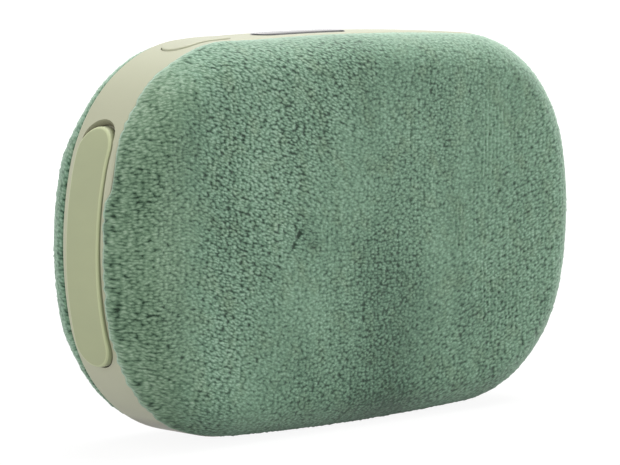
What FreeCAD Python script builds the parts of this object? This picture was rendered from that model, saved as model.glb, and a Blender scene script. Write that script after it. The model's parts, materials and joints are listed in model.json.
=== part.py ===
"""Rechargeable hand warmer: two plush-covered faces on a plastic band, built as separate pieces.

Frame: +X runs along the long side, -Y points out of the front face and +Z points up.
The origin is at the middle of the lowest line, so the warmer stands on its long bottom edge.
All sizes are in millimetres. An inset is a distance inward from the band's outer outline.
"""

import FreeCAD
import Part
import math
import os

Vector = FreeCAD.Vector

# Whole warmer, seen from the front and from the side
width = 120.4
height = 74.0
face_depth = 6.5
long_side_radius = 665.0
short_side_radius = 62.6
corner_radius = 29.0

# General fits
overrun = 20.0
skin_gap = 0.05
seat_gap = 0.1
stack_gap = 0.05

# Band: a hoop with a channel inside, two ledges and two lips that carry the face shells
band_width = 12.2
band_wall = 2.4
band_edge_round = 0.9
ledge_thickness = 0.9
ledge_inset = 6.0
lip_inset = 4.8
lip_height = 1.3
snap_length = 6.0
snap_height = 0.5
snap_width = 0.5
snap_spacing = 25.0
snap_clearance = 0.15

# Face skins, from the outside in
rim_gap = 0.2
face_side_wall = 0.1
plush_thickness = 2.0
foam_thickness = 1.2
shell_wall = 1.4
cavity_side_wall = 0.7

# Heating stack under each shell
plate_thickness = 0.5
plate_margin = 3.5
film_thickness = 0.2
film_margin = 1.5
trace_thickness = 0.06
trace_width = 1.6
trace_pitch = 4.4
trace_margin = 3.5
insulation_thickness = 0.6

# Tray and its lugs
tray_thickness = 1.2
tray_clearance = 0.25
lug_radius = 2.7
lug_reach = 3.2
lug_angle_share = 0.95
lug_pilot_radius = 0.75
tray_hole_radius = 1.15
top_bay_depth = 15.0
top_bay_margin = 6.5
board_bay_clearance = 0.6

# Battery cells
cell_end_gap = 17.5
cell_side_gap = 13.2
cell_edge_round = 1.2
terrace_length = 1.2
terrace_thickness = 1.0
tape_thickness = 0.2
tape_margin = 4.0
link_thickness = 0.15
link_width = 4.0
link_spacing = 16.0
link_slot_clearance = 0.5
protection_thickness = 0.8
protection_length = 26.0
protection_gap = 0.3

# Charging ports, board and board parts
port_recess = 0.15
usb_a_width = 13.1
usb_a_height = 5.7
usb_a_depth = 14.0
usb_a_above_middle = 8.0
usb_a_tongue_width = 11.1
usb_a_tongue_thickness = 1.84
usb_a_tongue_setback = 1.4
usb_a_contact_width = 1.0
usb_a_contact_thickness = 0.2
usb_a_contact_pitch = 2.3
usb_c_width = 8.94
usb_c_height = 3.26
usb_c_depth = 7.3
usb_c_below_middle = 10.0
usb_c_tongue_width = 6.7
usb_c_tongue_thickness = 0.7
usb_c_tongue_setback = 0.9
port_shell_wall = 0.3
port_base_length = 2.6
port_window_clearance = 0.3
board_thickness = 1.0
board_length = 36.0
board_depth = 20.2
board_edge_clearance = 0.3
board_lap = 2.6
post_radius = 1.3
post_pilot_radius = 0.55
board_post_inset = 4.5
chip_side = 5.0
chip_height = 0.9
chip_pitch = 7.5
inductor_side = 5.2
inductor_height = 2.0
inductor_round = 1.0
capacitor_length = 3.2
capacitor_width = 1.6
capacitor_height = 1.2
capacitor_pitch = 3.4
capacitor_count = 3
board_part_gap = 0.7

# Port panel behind the flap
panel_back_thickness = 1.75
panel_end_margin = 0.8
panel_side_clearance = 0.1

# Flap over the ports, one moulding that bends at its lower end
flap_length = 42.7
flap_side_margin = 2.0
flap_top_proud = 0.55
flap_middle_proud = 0.6
flap_foot_proud = 1.5
flap_depth = 1.2
flap_edge_round = 0.7
flap_clearance = 0.4
flap_hinge_height = 4.4
flap_hinge_gap = 0.06
flap_stub_clearance = 0.35
anchor_post_radius = 1.1
anchor_head_radius = 1.9
anchor_head_height = 0.8
anchor_clearance = 0.08
anchor_height = 2.3
notch_radius = 4.4
notch_depth = 2.9
notch_setback = 2.1

# Power button and its switch
button_from_left = 27.0
button_length = 14.6
button_side_margin = 2.85
button_proud = 0.3
button_edge_round = 0.25
button_clearance = 0.15
button_flange = 1.0
button_flange_thickness = 0.8
button_flange_clearance = 0.2
button_nub_radius = 1.5
button_nub_length = 0.65
button_travel = 0.5
switch_side = 6.0
switch_height = 2.6
stem_radius = 1.65
stem_reach = 0.9
stem_seat = 0.8
stem_clearance = 0.1
switch_board_clearance = 1.7
small_board_thickness = 0.8
small_board_end = 1.5

# Display window
display_gap = 1.1
lens_length = 22.3
lens_side_margin = 2.9
lens_proud = 0.25
lens_seat_depth = 1.2
lens_edge_round = 0.3
lens_clearance = 0.08
lens_lip = 1.0
gasket_wall = 1.0
gasket_thickness = 0.8
gasket_gap = 0.2
module_end_margin = 1.45
module_side_margin = 0.5
module_height = 3.0
display_board_clearance = 1.0
display_post_margin = 2.1

# Screws
tray_screw_radius = 1.0
tray_screw_head_radius = 1.9
tray_screw_head_height = 1.1
tray_screw_length = 3.6
small_screw_radius = 0.7
small_screw_head_radius = 1.15
small_screw_head_height = 0.8
small_screw_length = 2.4
slot_share = 0.5
slot_width = 0.4

# Wires and the display ribbon
battery_wire_radius = 0.65
heater_wire_radius = 0.5
sensor_wire_radius = 0.3
wire_pitch = 3.0
sensor_wire_pitch = 1.2
switch_lead_inset = 1.5
sensor_radius = 0.9
wire_bend_share = 0.45
ribbon_width = 3.0
ribbon_thickness = 0.2
ribbon_lap = 2.5

half_height = height / 2


def corner_centre():
    """Middle of the upper right corner arc, from the middle of the outline."""
    top_reach = long_side_radius - corner_radius
    side_reach = short_side_radius - corner_radius
    top_z = half_height - long_side_radius
    side_x = width / 2 - short_side_radius
    span = math.hypot(side_x, top_z)
    along = (top_reach**2 - side_reach**2 + span**2) / (2 * span)
    across = math.sqrt(top_reach**2 - along**2)
    unit_x = side_x / span
    unit_z = -top_z / span
    return along * unit_x + across * unit_z, top_z + along * unit_z - across * unit_x


corner_x, corner_z = corner_centre()
top_centre_z = half_height - long_side_radius
side_centre_x = width / 2 - short_side_radius
corner_start = math.atan2(corner_z, corner_x - side_centre_x)
corner_end = math.atan2(corner_z - top_centre_z, corner_x)


def half_width_at(z, inset):
    """Half width of the outline at a height from its middle, at an inset."""
    rise = abs(z)
    if rise <= (short_side_radius - inset) * math.sin(corner_start):
        return side_centre_x + math.sqrt((short_side_radius - inset) ** 2 - rise**2)
    return corner_x + math.sqrt((corner_radius - inset) ** 2 - (rise - corner_z) ** 2)


# Places that several pieces share
half_band = band_width / 2
half_tray = tray_thickness / 2
channel = half_band - ledge_thickness
rim = half_band + rim_gap
half_face = rim + face_depth
face_edge_round = face_depth - face_side_wall
foam_inset = plush_thickness
shell_inset = foam_inset + foam_thickness
cavity_inset = shell_inset + shell_wall
cavity_face = half_face - cavity_inset
cavity_round = cavity_face - rim - cavity_side_wall
plate_inset = cavity_inset + plate_margin
plate_face = cavity_face - stack_gap
film_face = plate_face - plate_thickness - stack_gap
trace_face = film_face - film_thickness
insulation_face = trace_face - trace_thickness - stack_gap
cell_face = insulation_face - insulation_thickness - stack_gap
cell_back = half_tray + tape_thickness + 2 * stack_gap
tray_inset = ledge_inset + tray_clearance
usb_a_reach = usb_a_above_middle + usb_a_width / 2
usb_c_reach = usb_c_below_middle + usb_c_width / 2
mouth_x = port_recess - half_width_at(max(usb_a_reach, usb_c_reach), flap_depth)
board_face = usb_a_height / 2
board_right = mouth_x + board_depth
board_bottom = half_height - board_length / 2
board_top = half_height + board_length / 2
bay_right = board_right - board_lap
protection_left = board_right + protection_gap
link_left = protection_left + protection_thickness + stack_gap
cell_left = link_left + link_thickness + terrace_length
cell_right = width / 2 - cell_end_gap
cell_bottom = cell_side_gap
cell_top = height - cell_side_gap
usb_a_z = half_height + usb_a_above_middle
usb_c_z = half_height - usb_c_below_middle
usb_c_y = board_face - usb_c_height / 2
flap_width = band_width - 2 * flap_side_margin
panel_floor = flap_depth + seat_gap
panel_front = band_wall + seat_gap / 2
panel_back = panel_front + panel_back_thickness
hinge_z = half_height - flap_length / 2 + flap_hinge_height
anchor_z = half_height - flap_length / 2 + anchor_height
button_x = button_from_left - width / 2
button_width = band_width - 2 * button_side_margin
switch_post_spacing = button_length + 2 * (button_flange + button_flange_clearance + post_radius)
switch_board_width = 2 * (channel - switch_board_clearance)
lens_width = band_width - 2 * lens_side_margin
module_length = lens_length - 2 * module_end_margin
module_width = lens_width - 2 * module_side_margin
display_board_width = 2 * (channel - display_board_clearance)
display_post_spacing = lens_length + display_post_margin
board_pair_length = switch_post_spacing + display_post_spacing + 4 * small_board_end
display_x = button_x + board_pair_length / 2 + display_gap
flange_top = band_wall + seat_gap
nub_bottom = flange_top + button_flange_thickness + button_nub_length
stem_top = nub_bottom + stack_gap
switch_top = stem_top + stem_reach
switch_board_top = switch_top + switch_height + stack_gap
gasket_top = band_wall + gasket_gap
module_top = gasket_top + gasket_thickness + stack_gap
display_board_top = module_top + module_height + stack_gap


def outline(inset, y):
    """Closed outline of eight tangent arcs at one depth."""
    turn = math.pi
    arcs = [
        (side_centre_x, 0, short_side_radius, -corner_start, corner_start),
        (corner_x, corner_z, corner_radius, corner_start, corner_end),
        (0, top_centre_z, long_side_radius, corner_end, turn - corner_end),
        (-corner_x, corner_z, corner_radius, turn - corner_end, turn - corner_start),
        (-side_centre_x, 0, short_side_radius, turn - corner_start, turn + corner_start),
        (-corner_x, -corner_z, corner_radius, turn + corner_start, turn + corner_end),
        (0, -top_centre_z, long_side_radius, turn + corner_end, 2 * turn - corner_end),
        (corner_x, -corner_z, corner_radius, 2 * turn - corner_end, 2 * turn - corner_start),
    ]
    edges = []
    for centre_x, centre_z, radius, first, last in arcs:
        points = []
        for angle in (first, (first + last) / 2, last):
            reach = radius - inset
            x = centre_x + reach * math.cos(angle)
            z = half_height + centre_z + reach * math.sin(angle)
            points.append(Vector(x, y, z))
        edges.append(Part.Arc(*points).toShape())
    return Part.Wire(edges)


def slab(inset, low, high):
    """Outline at an inset, from one depth to another."""
    return Part.Face(outline(inset, low)).extrude(Vector(0, high - low, 0))


def hoop(outer, inner, low, high):
    """Ring between two insets."""
    return slab(outer, low, high).cut(slab(inner, low - overrun, high + overrun))


def block(x, y, z):
    """Box from three pairs of limits."""
    corner = Vector(x[0], y[0], z[0])
    return Part.makeBox(x[1] - x[0], y[1] - y[0], z[1] - z[0], corner)


def around(middle, size):
    """Limits of a size centred on a place."""
    return middle - size / 2, middle + size / 2


def rod(radius, start, end):
    """Cylinder from one point to another."""
    return Part.makeCylinder(radius, (end - start).Length, start, end - start)


def capsule(length, breadth, low, high):
    """Upright prism with round ends, long along local X."""
    straight = (length - breadth) / 2
    side = breadth / 2
    a = Vector(-straight, -side, low)
    b = Vector(straight, -side, low)
    c = Vector(straight, side, low)
    d = Vector(-straight, side, low)
    right = Part.Arc(b, Vector(length / 2, 0, low), c).toShape()
    left = Part.Arc(d, Vector(-length / 2, 0, low), a).toShape()
    edges = [Part.LineSegment(a, b).toShape(), right, Part.LineSegment(c, d).toShape(), left]
    return Part.Face(Part.Wire(edges)).extrude(Vector(0, 0, high - low))


def frame_at(x, z, normal_x, normal_z):
    """Local frame: X along the outline, Y as the part's own, Z straight out of the band."""
    tangent = Vector(normal_z, 0, -normal_x)
    turn = FreeCAD.Rotation(tangent, Vector(0, 1, 0), Vector(normal_x, 0, normal_z), "ZXY")
    return FreeCAD.Placement(Vector(x, 0, half_height + z), turn)


def top_frame(x):
    """Local frame on the upper edge of the outline, at one X."""
    if abs(x) <= long_side_radius * math.cos(corner_end):
        normal_x = x / long_side_radius
        middle_x = 0
        middle_z = top_centre_z
        radius = long_side_radius
    else:
        middle_x = math.copysign(corner_x, x)
        normal_x = (x - middle_x) / corner_radius
        middle_z = corner_z
        radius = corner_radius
    normal_z = math.sqrt(1 - normal_x**2)
    return frame_at(x, middle_z + radius * normal_z, normal_x, normal_z)


def left_frame(z):
    """Local frame on the left edge of the outline, at one height above the base."""
    rise = z - half_height
    if abs(rise) <= short_side_radius * math.sin(corner_start):
        normal_z = rise / short_side_radius
        middle_x = -side_centre_x
        radius = short_side_radius
    else:
        normal_z = (rise - math.copysign(corner_z, rise)) / corner_radius
        middle_x = -corner_x
        radius = corner_radius
    normal_x = -math.sqrt(1 - normal_z**2)
    return frame_at(middle_x + radius * normal_x, rise, normal_x, normal_z)


def placed(shape, frame):
    """Copy of a shape carried from the local frame to the part's own."""
    copy = shape.copy()
    copy.Placement = frame.multiply(copy.Placement)
    return copy


def fused(first, *others):
    """One solid from several that touch."""
    return first.multiFuse(list(others)).removeSplitter()


def rear(shape):
    """The same piece on the rear half."""
    return shape.mirror(Vector(0, 0, 0), Vector(0, 1, 0))


def edges_at(shape, y):
    """Edges that lie wholly at one depth."""
    close = skin_gap / 10
    return [e for e in shape.Edges if abs(e.BoundBox.YMin - y) < close and abs(e.BoundBox.YMax - y) < close]


def rim_edges(faces):
    """Edges round the outside of a group of faces."""
    found = [e for f in faces for e in f.Edges]
    return [e for e in found if sum(e.isSame(other) for other in found) == 1]


def runs_deep(edge):
    """Whether a straight edge points along Y."""
    way = edge.tangentAt(edge.FirstParameter)
    return abs(way.y) > abs(way.x) + abs(way.z)


def round_faces(shape, radii):
    """Round faces of a piece that have one of some radii."""
    close = skin_gap / 10
    found = [f for f in shape.Faces if isinstance(f.Surface, Part.Cylinder)]
    return [f for f in found if any(abs(f.Surface.Radius - r) < close for r in radii)]


def outer_faces(shape, inset):
    """Round faces of a piece that follow the outline at an inset."""
    radii = [long_side_radius - inset, short_side_radius - inset, corner_radius - inset]
    return round_faces(shape, radii)


def screw(radius, length, head_radius, head_height):
    """Pan head screw along local Z, with its head above zero and a driver slot."""
    shank = Part.makeCylinder(radius, length, Vector(0, 0, -length))
    head = Part.makeCylinder(head_radius, head_height)
    slot_depth = head_height * slot_share
    slot = block(around(0, 2 * head_radius), around(0, slot_width), (head_height - slot_depth, head_height))
    return fused(shank, head).cut(slot)


def small_screw():
    return screw(small_screw_radius, small_screw_length, small_screw_head_radius, small_screw_head_height)


def facing(point, direction):
    """Frame at a point with its Z along a direction."""
    return FreeCAD.Placement(point, FreeCAD.Rotation(Vector(0, 0, 1), direction))


def wire_tube(radius, points):
    """Round wire along straight runs joined by tangent arcs."""
    edges = []
    start = points[0]
    for before, corner, after in zip(points, points[1:], points[2:]):
        back = (before - corner).normalize()
        ahead = (after - corner).normalize()
        cut = wire_bend_share * min((before - corner).Length, (after - corner).Length)
        half_turn = (math.pi - back.getAngle(ahead)) / 2
        bend = cut / math.tan(half_turn)
        middle = (back + ahead).normalize()
        reach = bend / math.cos(half_turn) - bend
        first = corner + back * cut
        last = corner + ahead * cut
        edges.append(Part.LineSegment(start, first).toShape())
        edges.append(Part.Arc(first, corner + middle * reach, last).toShape())
        start = last
    edges.append(Part.LineSegment(start, points[-1]).toShape())
    path = Part.Wire(edges)
    section = Part.Wire(Part.makeCircle(radius, points[0], points[1] - points[0]))
    return path.makePipeShell([section], True, False)


def group(solids):
    """Several separate solids in one node."""
    return Part.makeCompound(list(solids))


# Casing

def lugs():
    """Lugs inside the lower corners and the upper right one, with the frames of their screws."""
    solids = []
    frames = []
    slope = lug_angle_share * math.pi / 2
    for side, end in ((-1, -1), (1, -1), (1, 1)):
        normal = Vector(side * math.cos(slope), 0, end * math.sin(slope))
        middle = Vector(side * corner_x, 0, half_height + end * corner_z)
        hole = middle + normal * (corner_radius - ledge_inset - lug_reach)
        wall = middle + normal * (corner_radius - band_wall / 2)
        span = (wall - hole).Length
        body = block(around(span / 2, span), around(0, 2 * lug_radius), (half_tray, channel))
        body = body.fuse(Part.makeCylinder(lug_radius, channel - half_tray, Vector(0, 0, half_tray)))
        upright = FreeCAD.Rotation(normal, normal.cross(Vector(0, -1, 0)), Vector(0, 1, 0), "ZXY")
        solids.append(placed(body, FreeCAD.Placement(hole, upright)))
        frames.append(FreeCAD.Placement(hole, FreeCAD.Rotation(Vector(0, 0, 1), Vector(0, -1, 0))))
    return solids, frames


lug_solids, lug_frames = lugs()
button_frame = top_frame(button_x)
display_frame = top_frame(display_x)
pocket_frame = left_frame(half_height)


def posts(spacing, bottom, frame):
    """Two screw posts from inside the band's wall down to a small board."""
    pair = []
    for side in (-1, 1):
        foot = Vector(side * spacing / 2, 0, -bottom)
        post = placed(rod(post_radius, foot, foot + Vector(0, 0, overrun)), frame)
        pair.append(post.common(slab(band_wall / 2, -half_band, half_band)))
    return pair


def pilots(spacing, bottom):
    """Screw holes in those posts."""
    pair = []
    for side in (-1, 1):
        foot = Vector(side * spacing / 2, 0, -bottom)
        start = foot - Vector(0, 0, seat_gap)
        pair.append(rod(post_pilot_radius, start, foot + Vector(0, 0, small_screw_length)))
    return pair


def snap_zone(margin, low, high):
    """Blocks along the long sides where the snaps lie, all round one face."""
    zones = []
    for place in (-snap_spacing, 0, snap_spacing):
        x = around(place, snap_length + 2 * margin)
        zones.append(block(x, (low - margin, high + margin), (-overrun, height + overrun)))
    return zones[0].multiFuse(zones[1:])


snap_low = rim + snap_width
snap_high = snap_low + snap_width


def snaps(margin):
    """Ribs on the lip that click into the shell, grown by a margin."""
    outer = lip_inset - snap_height - margin
    ring = hoop(outer, lip_inset + skin_gap, snap_low - margin, snap_high + margin)
    return ring.common(snap_zone(margin, snap_low, snap_high))


def front_lip():
    """Lip that stands up inside a face shell, with its snap ribs, on the rear side."""
    ring = hoop(lip_inset, ledge_inset, channel, half_band + lip_height)
    return ring.fuse(snaps(0))


def flap_prism(margin):
    """Capsule through the left side of the band, as seen square on."""
    long = flap_length + 2 * margin
    broad = flap_width + 2 * margin
    return placed(capsule(long, broad, -overrun, overrun), pocket_frame)


def on_left(shape):
    """The left half of a shape."""
    return shape.common(block((-width, 0), (-width, width), (-height, 2 * height)))


def on_top(shape):
    """The upper half of a shape."""
    return shape.common(block((-width, width), (-width, width), (half_height, 2 * height)))


def band_frame():
    ring = slab(0, -half_band, half_band)
    ring = ring.makeFillet(band_edge_round, edges_at(ring, -half_band) + edges_at(ring, half_band))
    ring = ring.cut(slab(band_wall, -channel, channel))
    ring = ring.cut(slab(ledge_inset, -overrun, overrun))
    lip = front_lip()
    button_posts = posts(switch_post_spacing, switch_board_top, button_frame)
    display_posts = posts(display_post_spacing, display_board_top, display_frame)
    ring = fused(ring, lip, rear(lip), *lug_solids, *button_posts, *display_posts)
    hole_length = button_length + 2 * button_clearance
    hole_width = button_width + 2 * button_clearance
    seat_length = lens_length + 2 * lens_clearance
    seat_width = lens_width + 2 * lens_clearance
    view_length = lens_length - 2 * lens_lip
    view_width = lens_width - 2 * lens_lip
    cuts = [on_left(hoop(-overrun, panel_front, -half_band, half_band).common(flap_prism(flap_clearance)))]
    cuts.append(placed(capsule(hole_length, hole_width, -2 * band_wall, overrun), button_frame))
    cuts.append(placed(capsule(view_length, view_width, -2 * band_wall, overrun), display_frame))
    seat = placed(capsule(seat_length, seat_width, -overrun, overrun), display_frame)
    cuts.append(seat.common(hoop(-overrun, lens_seat_depth, -half_band, half_band)))
    cuts += [placed(p, button_frame) for p in pilots(switch_post_spacing, switch_board_top)]
    cuts += [placed(p, display_frame) for p in pilots(display_post_spacing, display_board_top)]
    for frame in lug_frames:
        cuts.append(placed(rod(lug_pilot_radius, Vector(0, 0, -overrun), Vector(0, 0, 0)), frame))
    ring = ring.cut(notch())
    for cut in cuts:
        ring = ring.cut(cut)
    return ring


def notch():
    """Round scoop above the flap, for a fingernail."""
    top = half_height + flap_length / 2 - notch_setback
    return placed(Part.makeSphere(notch_radius, Vector(0, 0, notch_radius - notch_depth)), left_frame(top))


def pad(inset, edge_round):
    """Solid of one face from its rim to its front, on the front side."""
    front = inset - half_face
    solid = slab(inset, front, -rim)
    return solid.makeFillet(edge_round, edges_at(solid, front))


def skin(outer, inner):
    """Dished layer of a face between two insets."""
    solid = pad(outer, face_edge_round - outer)
    return solid.cut(pad(inner, face_edge_round - inner))


def plush():
    return skin(0, foam_inset)


def foam():
    return skin(foam_inset + skin_gap, shell_inset)


def shell():
    solid = pad(shell_inset + skin_gap, face_edge_round - shell_inset - skin_gap)
    solid = solid.cut(pad(cavity_inset, cavity_round))
    return solid.cut(rear(snaps(snap_clearance)))


# Heating stack

def heat_plate():
    return slab(plate_inset, -plate_face, plate_thickness - plate_face)


def heater_film():
    return slab(plate_inset + film_margin, -film_face, film_thickness - film_face)


trace_inset = plate_inset + film_margin + trace_margin
trace_rows = 2 * int((half_height - trace_inset) / trace_pitch)


def trace_ends():
    """Left and right ends of each row of the heating trace, shared by the rows that a link joins."""
    rise = [(row - (trace_rows - 1) / 2) * trace_pitch for row in range(trace_rows)]
    reach = [half_width_at(z + math.copysign(trace_width / 2, z), trace_inset) for z in rise]
    right = list(reach)
    left = list(reach)
    for row in range(trace_rows - 1):
        ends = right if row % 2 == 0 else left
        ends[row] = ends[row + 1] = min(reach[row], reach[row + 1])
    left[0] = left[-1] = min(reach[0], reach[-1])
    return rise, left, right


def heater_trace():
    """One strip that runs to and fro across the film."""
    rise, left, right = trace_ends()
    y = (-trace_face, trace_thickness - trace_face)
    strips = []
    for row, z in enumerate(rise):
        strips.append(block((-left[row], right[row]), y, around(half_height + z, trace_width)))
    for row in range(trace_rows - 1):
        if row % 2 == 0:
            x = (right[row] - trace_width, right[row])
        else:
            x = (-left[row], trace_width - left[row])
        z = (half_height + rise[row] - trace_width / 2, half_height + rise[row + 1] + trace_width / 2)
        strips.append(block(x, y, z))
    return fused(*strips)


def insulation():
    y = (-insulation_face, insulation_thickness - insulation_face)
    return block((cell_left, cell_right), y, (cell_bottom, cell_top))


# Tray and cells

def link_slots():
    """Slots in the tray that the cell links pass through."""
    slots = []
    for place in (-1, 1):
        x = (link_left - link_slot_clearance, link_left + link_thickness + link_slot_clearance)
        z = around(half_height + place * link_spacing / 2, link_width + 2 * link_slot_clearance)
        slots.append(block(x, around(0, 2 * overrun), z))
    return slots


def board_post_points():
    x = board_right - board_lap / 2
    return [Vector(x, 0, z) for z in (board_bottom + board_post_inset, board_top - board_post_inset)]


def tray():
    plate = slab(tray_inset, -half_tray, half_tray)
    deep = around(0, 2 * overrun)
    plate = plate.cut(block((-width, bay_right), deep, (board_bottom - board_bay_clearance, height)))
    bay_end = display_x + display_post_spacing / 2 + small_board_end + top_bay_margin
    plate = plate.cut(block((-width, bay_end), deep, (height - top_bay_depth, height)))
    lift = Vector(0, board_face - stack_gap, 0)
    supports = [rod(post_radius, point, point + lift) for point in board_post_points()]
    plate = fused(plate, *supports)
    for point in board_post_points():
        plate = plate.cut(rod(post_pilot_radius, point, point + lift))
    for frame in lug_frames:
        hole = Vector(0, 0, tray_thickness)
        plate = plate.cut(placed(rod(tray_hole_radius, -hole, hole), frame))
    for slot in link_slots():
        plate = plate.cut(slot)
    return plate


def cell():
    """Pouch cell on the front side of the tray, with the terrace that its tabs leave from."""
    body = block((cell_left, cell_right), (-cell_face, -cell_back), (cell_bottom, cell_top))
    body = body.makeFillet(cell_edge_round, [e for e in body.Edges if not runs_deep(e)])
    middle = -(cell_face + cell_back) / 2
    reach = (cell_left - terrace_length, cell_left + cell_edge_round)
    z = (cell_bottom + 2 * cell_edge_round, cell_top - 2 * cell_edge_round)
    return fused(body, block(reach, around(middle, terrace_thickness), z))


def cell_tape():
    x = (cell_left + tape_margin, cell_right - tape_margin)
    y = (-half_tray - stack_gap - tape_thickness, -half_tray - stack_gap)
    return block(x, y, (cell_bottom + tape_margin, cell_top - tape_margin))


def cell_links():
    """Two nickel strips that join the cells' tabs through the tray."""
    reach = (cell_face + cell_back) / 2
    strips = []
    for place in (-1, 1):
        z = around(half_height + place * link_spacing / 2, link_width)
        strips.append(block((link_left, link_left + link_thickness), (-reach, reach), z))
    return group(strips)


def protection_board():
    x = (protection_left, protection_left + protection_thickness)
    y = (-cell_face, -half_tray - stack_gap)
    return block(x, y, around(half_height, protection_length))


# Main board and ports

def main_board():
    x = (-width, board_right)
    plate = block(x, (board_face, board_face + board_thickness), (board_bottom, board_top))
    plate = plate.common(slab(ledge_inset + board_edge_clearance, -half_band, half_band))
    for point in board_post_points():
        hole = Vector(0, overrun, 0)
        plate = plate.cut(rod(small_screw_radius + seat_gap, point, point + hole))
    return plate


def usb_a_box(grow, x):
    """Block of the wide port's outer size, grown on each side."""
    y = around(board_face - usb_a_height / 2, usb_a_height + 2 * grow)
    return block(x, y, around(usb_a_z, usb_a_width + 2 * grow))


def usb_a_shell():
    box = usb_a_box(0, (mouth_x, mouth_x + usb_a_depth))
    hollow = (mouth_x - overrun, mouth_x + usb_a_depth - port_shell_wall)
    return box.cut(usb_a_box(-port_shell_wall, hollow))


def usb_a_tongue():
    """Insulator of the wide port: a base block and the tongue that stands out of it."""
    back = mouth_x + usb_a_depth - port_shell_wall - skin_gap
    base = usb_a_box(-port_shell_wall - skin_gap, (back - port_base_length, back))
    middle = board_face - usb_a_height / 2
    y = (middle, middle + usb_a_tongue_thickness)
    tongue = block((mouth_x + usb_a_tongue_setback, back), y, around(usb_a_z, usb_a_tongue_width))
    return fused(base, tongue)


def usb_a_contacts():
    """Four spring contacts under the tongue."""
    top = board_face - usb_a_height / 2
    back = mouth_x + usb_a_depth - port_base_length - port_shell_wall - seat_gap
    x = (mouth_x + 2 * usb_a_tongue_setback, back)
    strips = []
    for place in range(4):
        z = usb_a_z + (place - 3 / 2) * usb_a_contact_pitch
        strips.append(block(x, (top - usb_a_contact_thickness, top), around(z, usb_a_contact_width)))
    return group(strips)


def usb_c_prism(grow, start, end):
    """Capsule of the small port's outer size, grown on each side, between two places along X."""
    prism = capsule(usb_c_width + 2 * grow, usb_c_height + 2 * grow, start, end)
    turn = FreeCAD.Rotation(Vector(0, 0, 1), Vector(0, -1, 0), Vector(1, 0, 0), "ZXY")
    return placed(prism, FreeCAD.Placement(Vector(0, usb_c_y, usb_c_z), turn))


def usb_c_shell():
    tube = usb_c_prism(0, mouth_x, mouth_x + usb_c_depth)
    back = mouth_x + usb_c_depth - port_shell_wall
    return tube.cut(usb_c_prism(-port_shell_wall, mouth_x - overrun, back))


def usb_c_tongue():
    """Insulator of the small port: a base plug and its thin tongue."""
    back = mouth_x + usb_c_depth - port_shell_wall - skin_gap
    base = usb_c_prism(-port_shell_wall - skin_gap, back - port_base_length, back)
    y = around(usb_c_y, usb_c_tongue_thickness)
    tongue = block((mouth_x + usb_c_tongue_setback, back), y, around(usb_c_z, usb_c_tongue_width))
    return fused(base, tongue)


def on_board(x, z, size_x, size_z, rise):
    """Block standing on the board's rear face."""
    low = board_face + board_thickness + stack_gap
    return block(around(x, size_x), (low, low + rise), around(z, size_z))


board_middle_x = mouth_x + board_depth / 2


def board_chips():
    """Charge, heat and boost chips in a row on the rear of the board."""
    chips = []
    for place in (-1, 0, 1):
        z = half_height + place * chip_pitch
        chips.append(on_board(board_middle_x - chip_side / 2, z, chip_side, chip_side, chip_height))
    return group(chips)


coil_x = board_middle_x + inductor_side
capacitor_start = board_bottom + board_post_inset
coil_z = capacitor_start + capacitor_count * capacitor_pitch + board_part_gap + inductor_side / 2


def inductor():
    body = on_board(coil_x, coil_z, inductor_side, inductor_side, inductor_height)
    return body.makeFillet(inductor_round, [e for e in body.Edges if runs_deep(e)])


def capacitors():
    """Row of capacitors beside the inductor."""
    row = []
    for place in range(capacitor_count):
        z = capacitor_start + capacitor_pitch * (place + 1 / 2)
        row.append(on_board(coil_x, z, capacitor_length, capacitor_width, capacitor_height))
    return group(row)


# Port panel and flap

def port_panel():
    """Plate behind the flap with the two port windows and the hole for the flap's anchor."""
    floor = hoop(panel_floor, panel_back, -half_band, half_band)
    floor = floor.common(flap_prism(flap_clearance - seat_gap))
    half_length = flap_length / 2 + panel_end_margin
    z = (half_height - half_length, half_height + half_length)
    zone = block((-width, 0), around(0, 2 * (channel - panel_side_clearance)), z)
    back = hoop(panel_front, panel_back, -half_band, half_band).common(zone)
    plate = fused(on_left(floor), back)
    plate = plate.cut(usb_a_box(port_window_clearance, (-width, mouth_x + usb_a_depth)))
    plate = plate.cut(usb_c_prism(port_window_clearance, -width, mouth_x + usb_c_depth))
    hole = rod(anchor_post_radius + anchor_clearance, Vector(0, 0, -overrun / 2), Vector(0, 0, overrun))
    return plate.cut(placed(hole, left_frame(anchor_z)))


def flap_arc():
    """Line of the flap's outer face, nearly flush with the band above and standing out at the foot."""
    half_length = flap_length / 2
    places = ((half_length, flap_top_proud), (0, flap_middle_proud), (-half_length, flap_foot_proud))
    points = [left_frame(half_height + rise).multVec(Vector(0, 0, proud)) for rise, proud in places]
    return Part.Arc(*points).toShape()


def flap_plate():
    """The whole flap moulding without its stubs, as one curved capsule with a rounded outer edge."""
    arc = flap_arc()
    top = arc.firstVertex().Point
    foot = arc.lastVertex().Point
    sides = Part.makePolygon([foot, Vector(0, 0, foot.z), Vector(0, 0, top.z), top])
    profile = Part.Face(Part.Wire([arc, *sides.Edges]))
    profile.translate(Vector(0, -half_band, 0))
    plate = profile.extrude(Vector(0, band_width, 0)).common(flap_prism(0))
    plate = on_left(plate.cut(slab(flap_depth, -overrun, overrun)))
    return plate.makeFillet(flap_edge_round, rim_edges(round_faces(plate, [arc.Curve.Radius])))


hinge_frame = left_frame(hinge_z)


def beyond_hinge(side):
    """Everything above (1) or below (-1) the bend, short of it by half the gap."""
    start = flap_hinge_gap / 2
    x = (start, 2 * width) if side > 0 else (-2 * width, -start)
    return placed(block(x, (-width, width), (-width, width)), hinge_frame)


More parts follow.
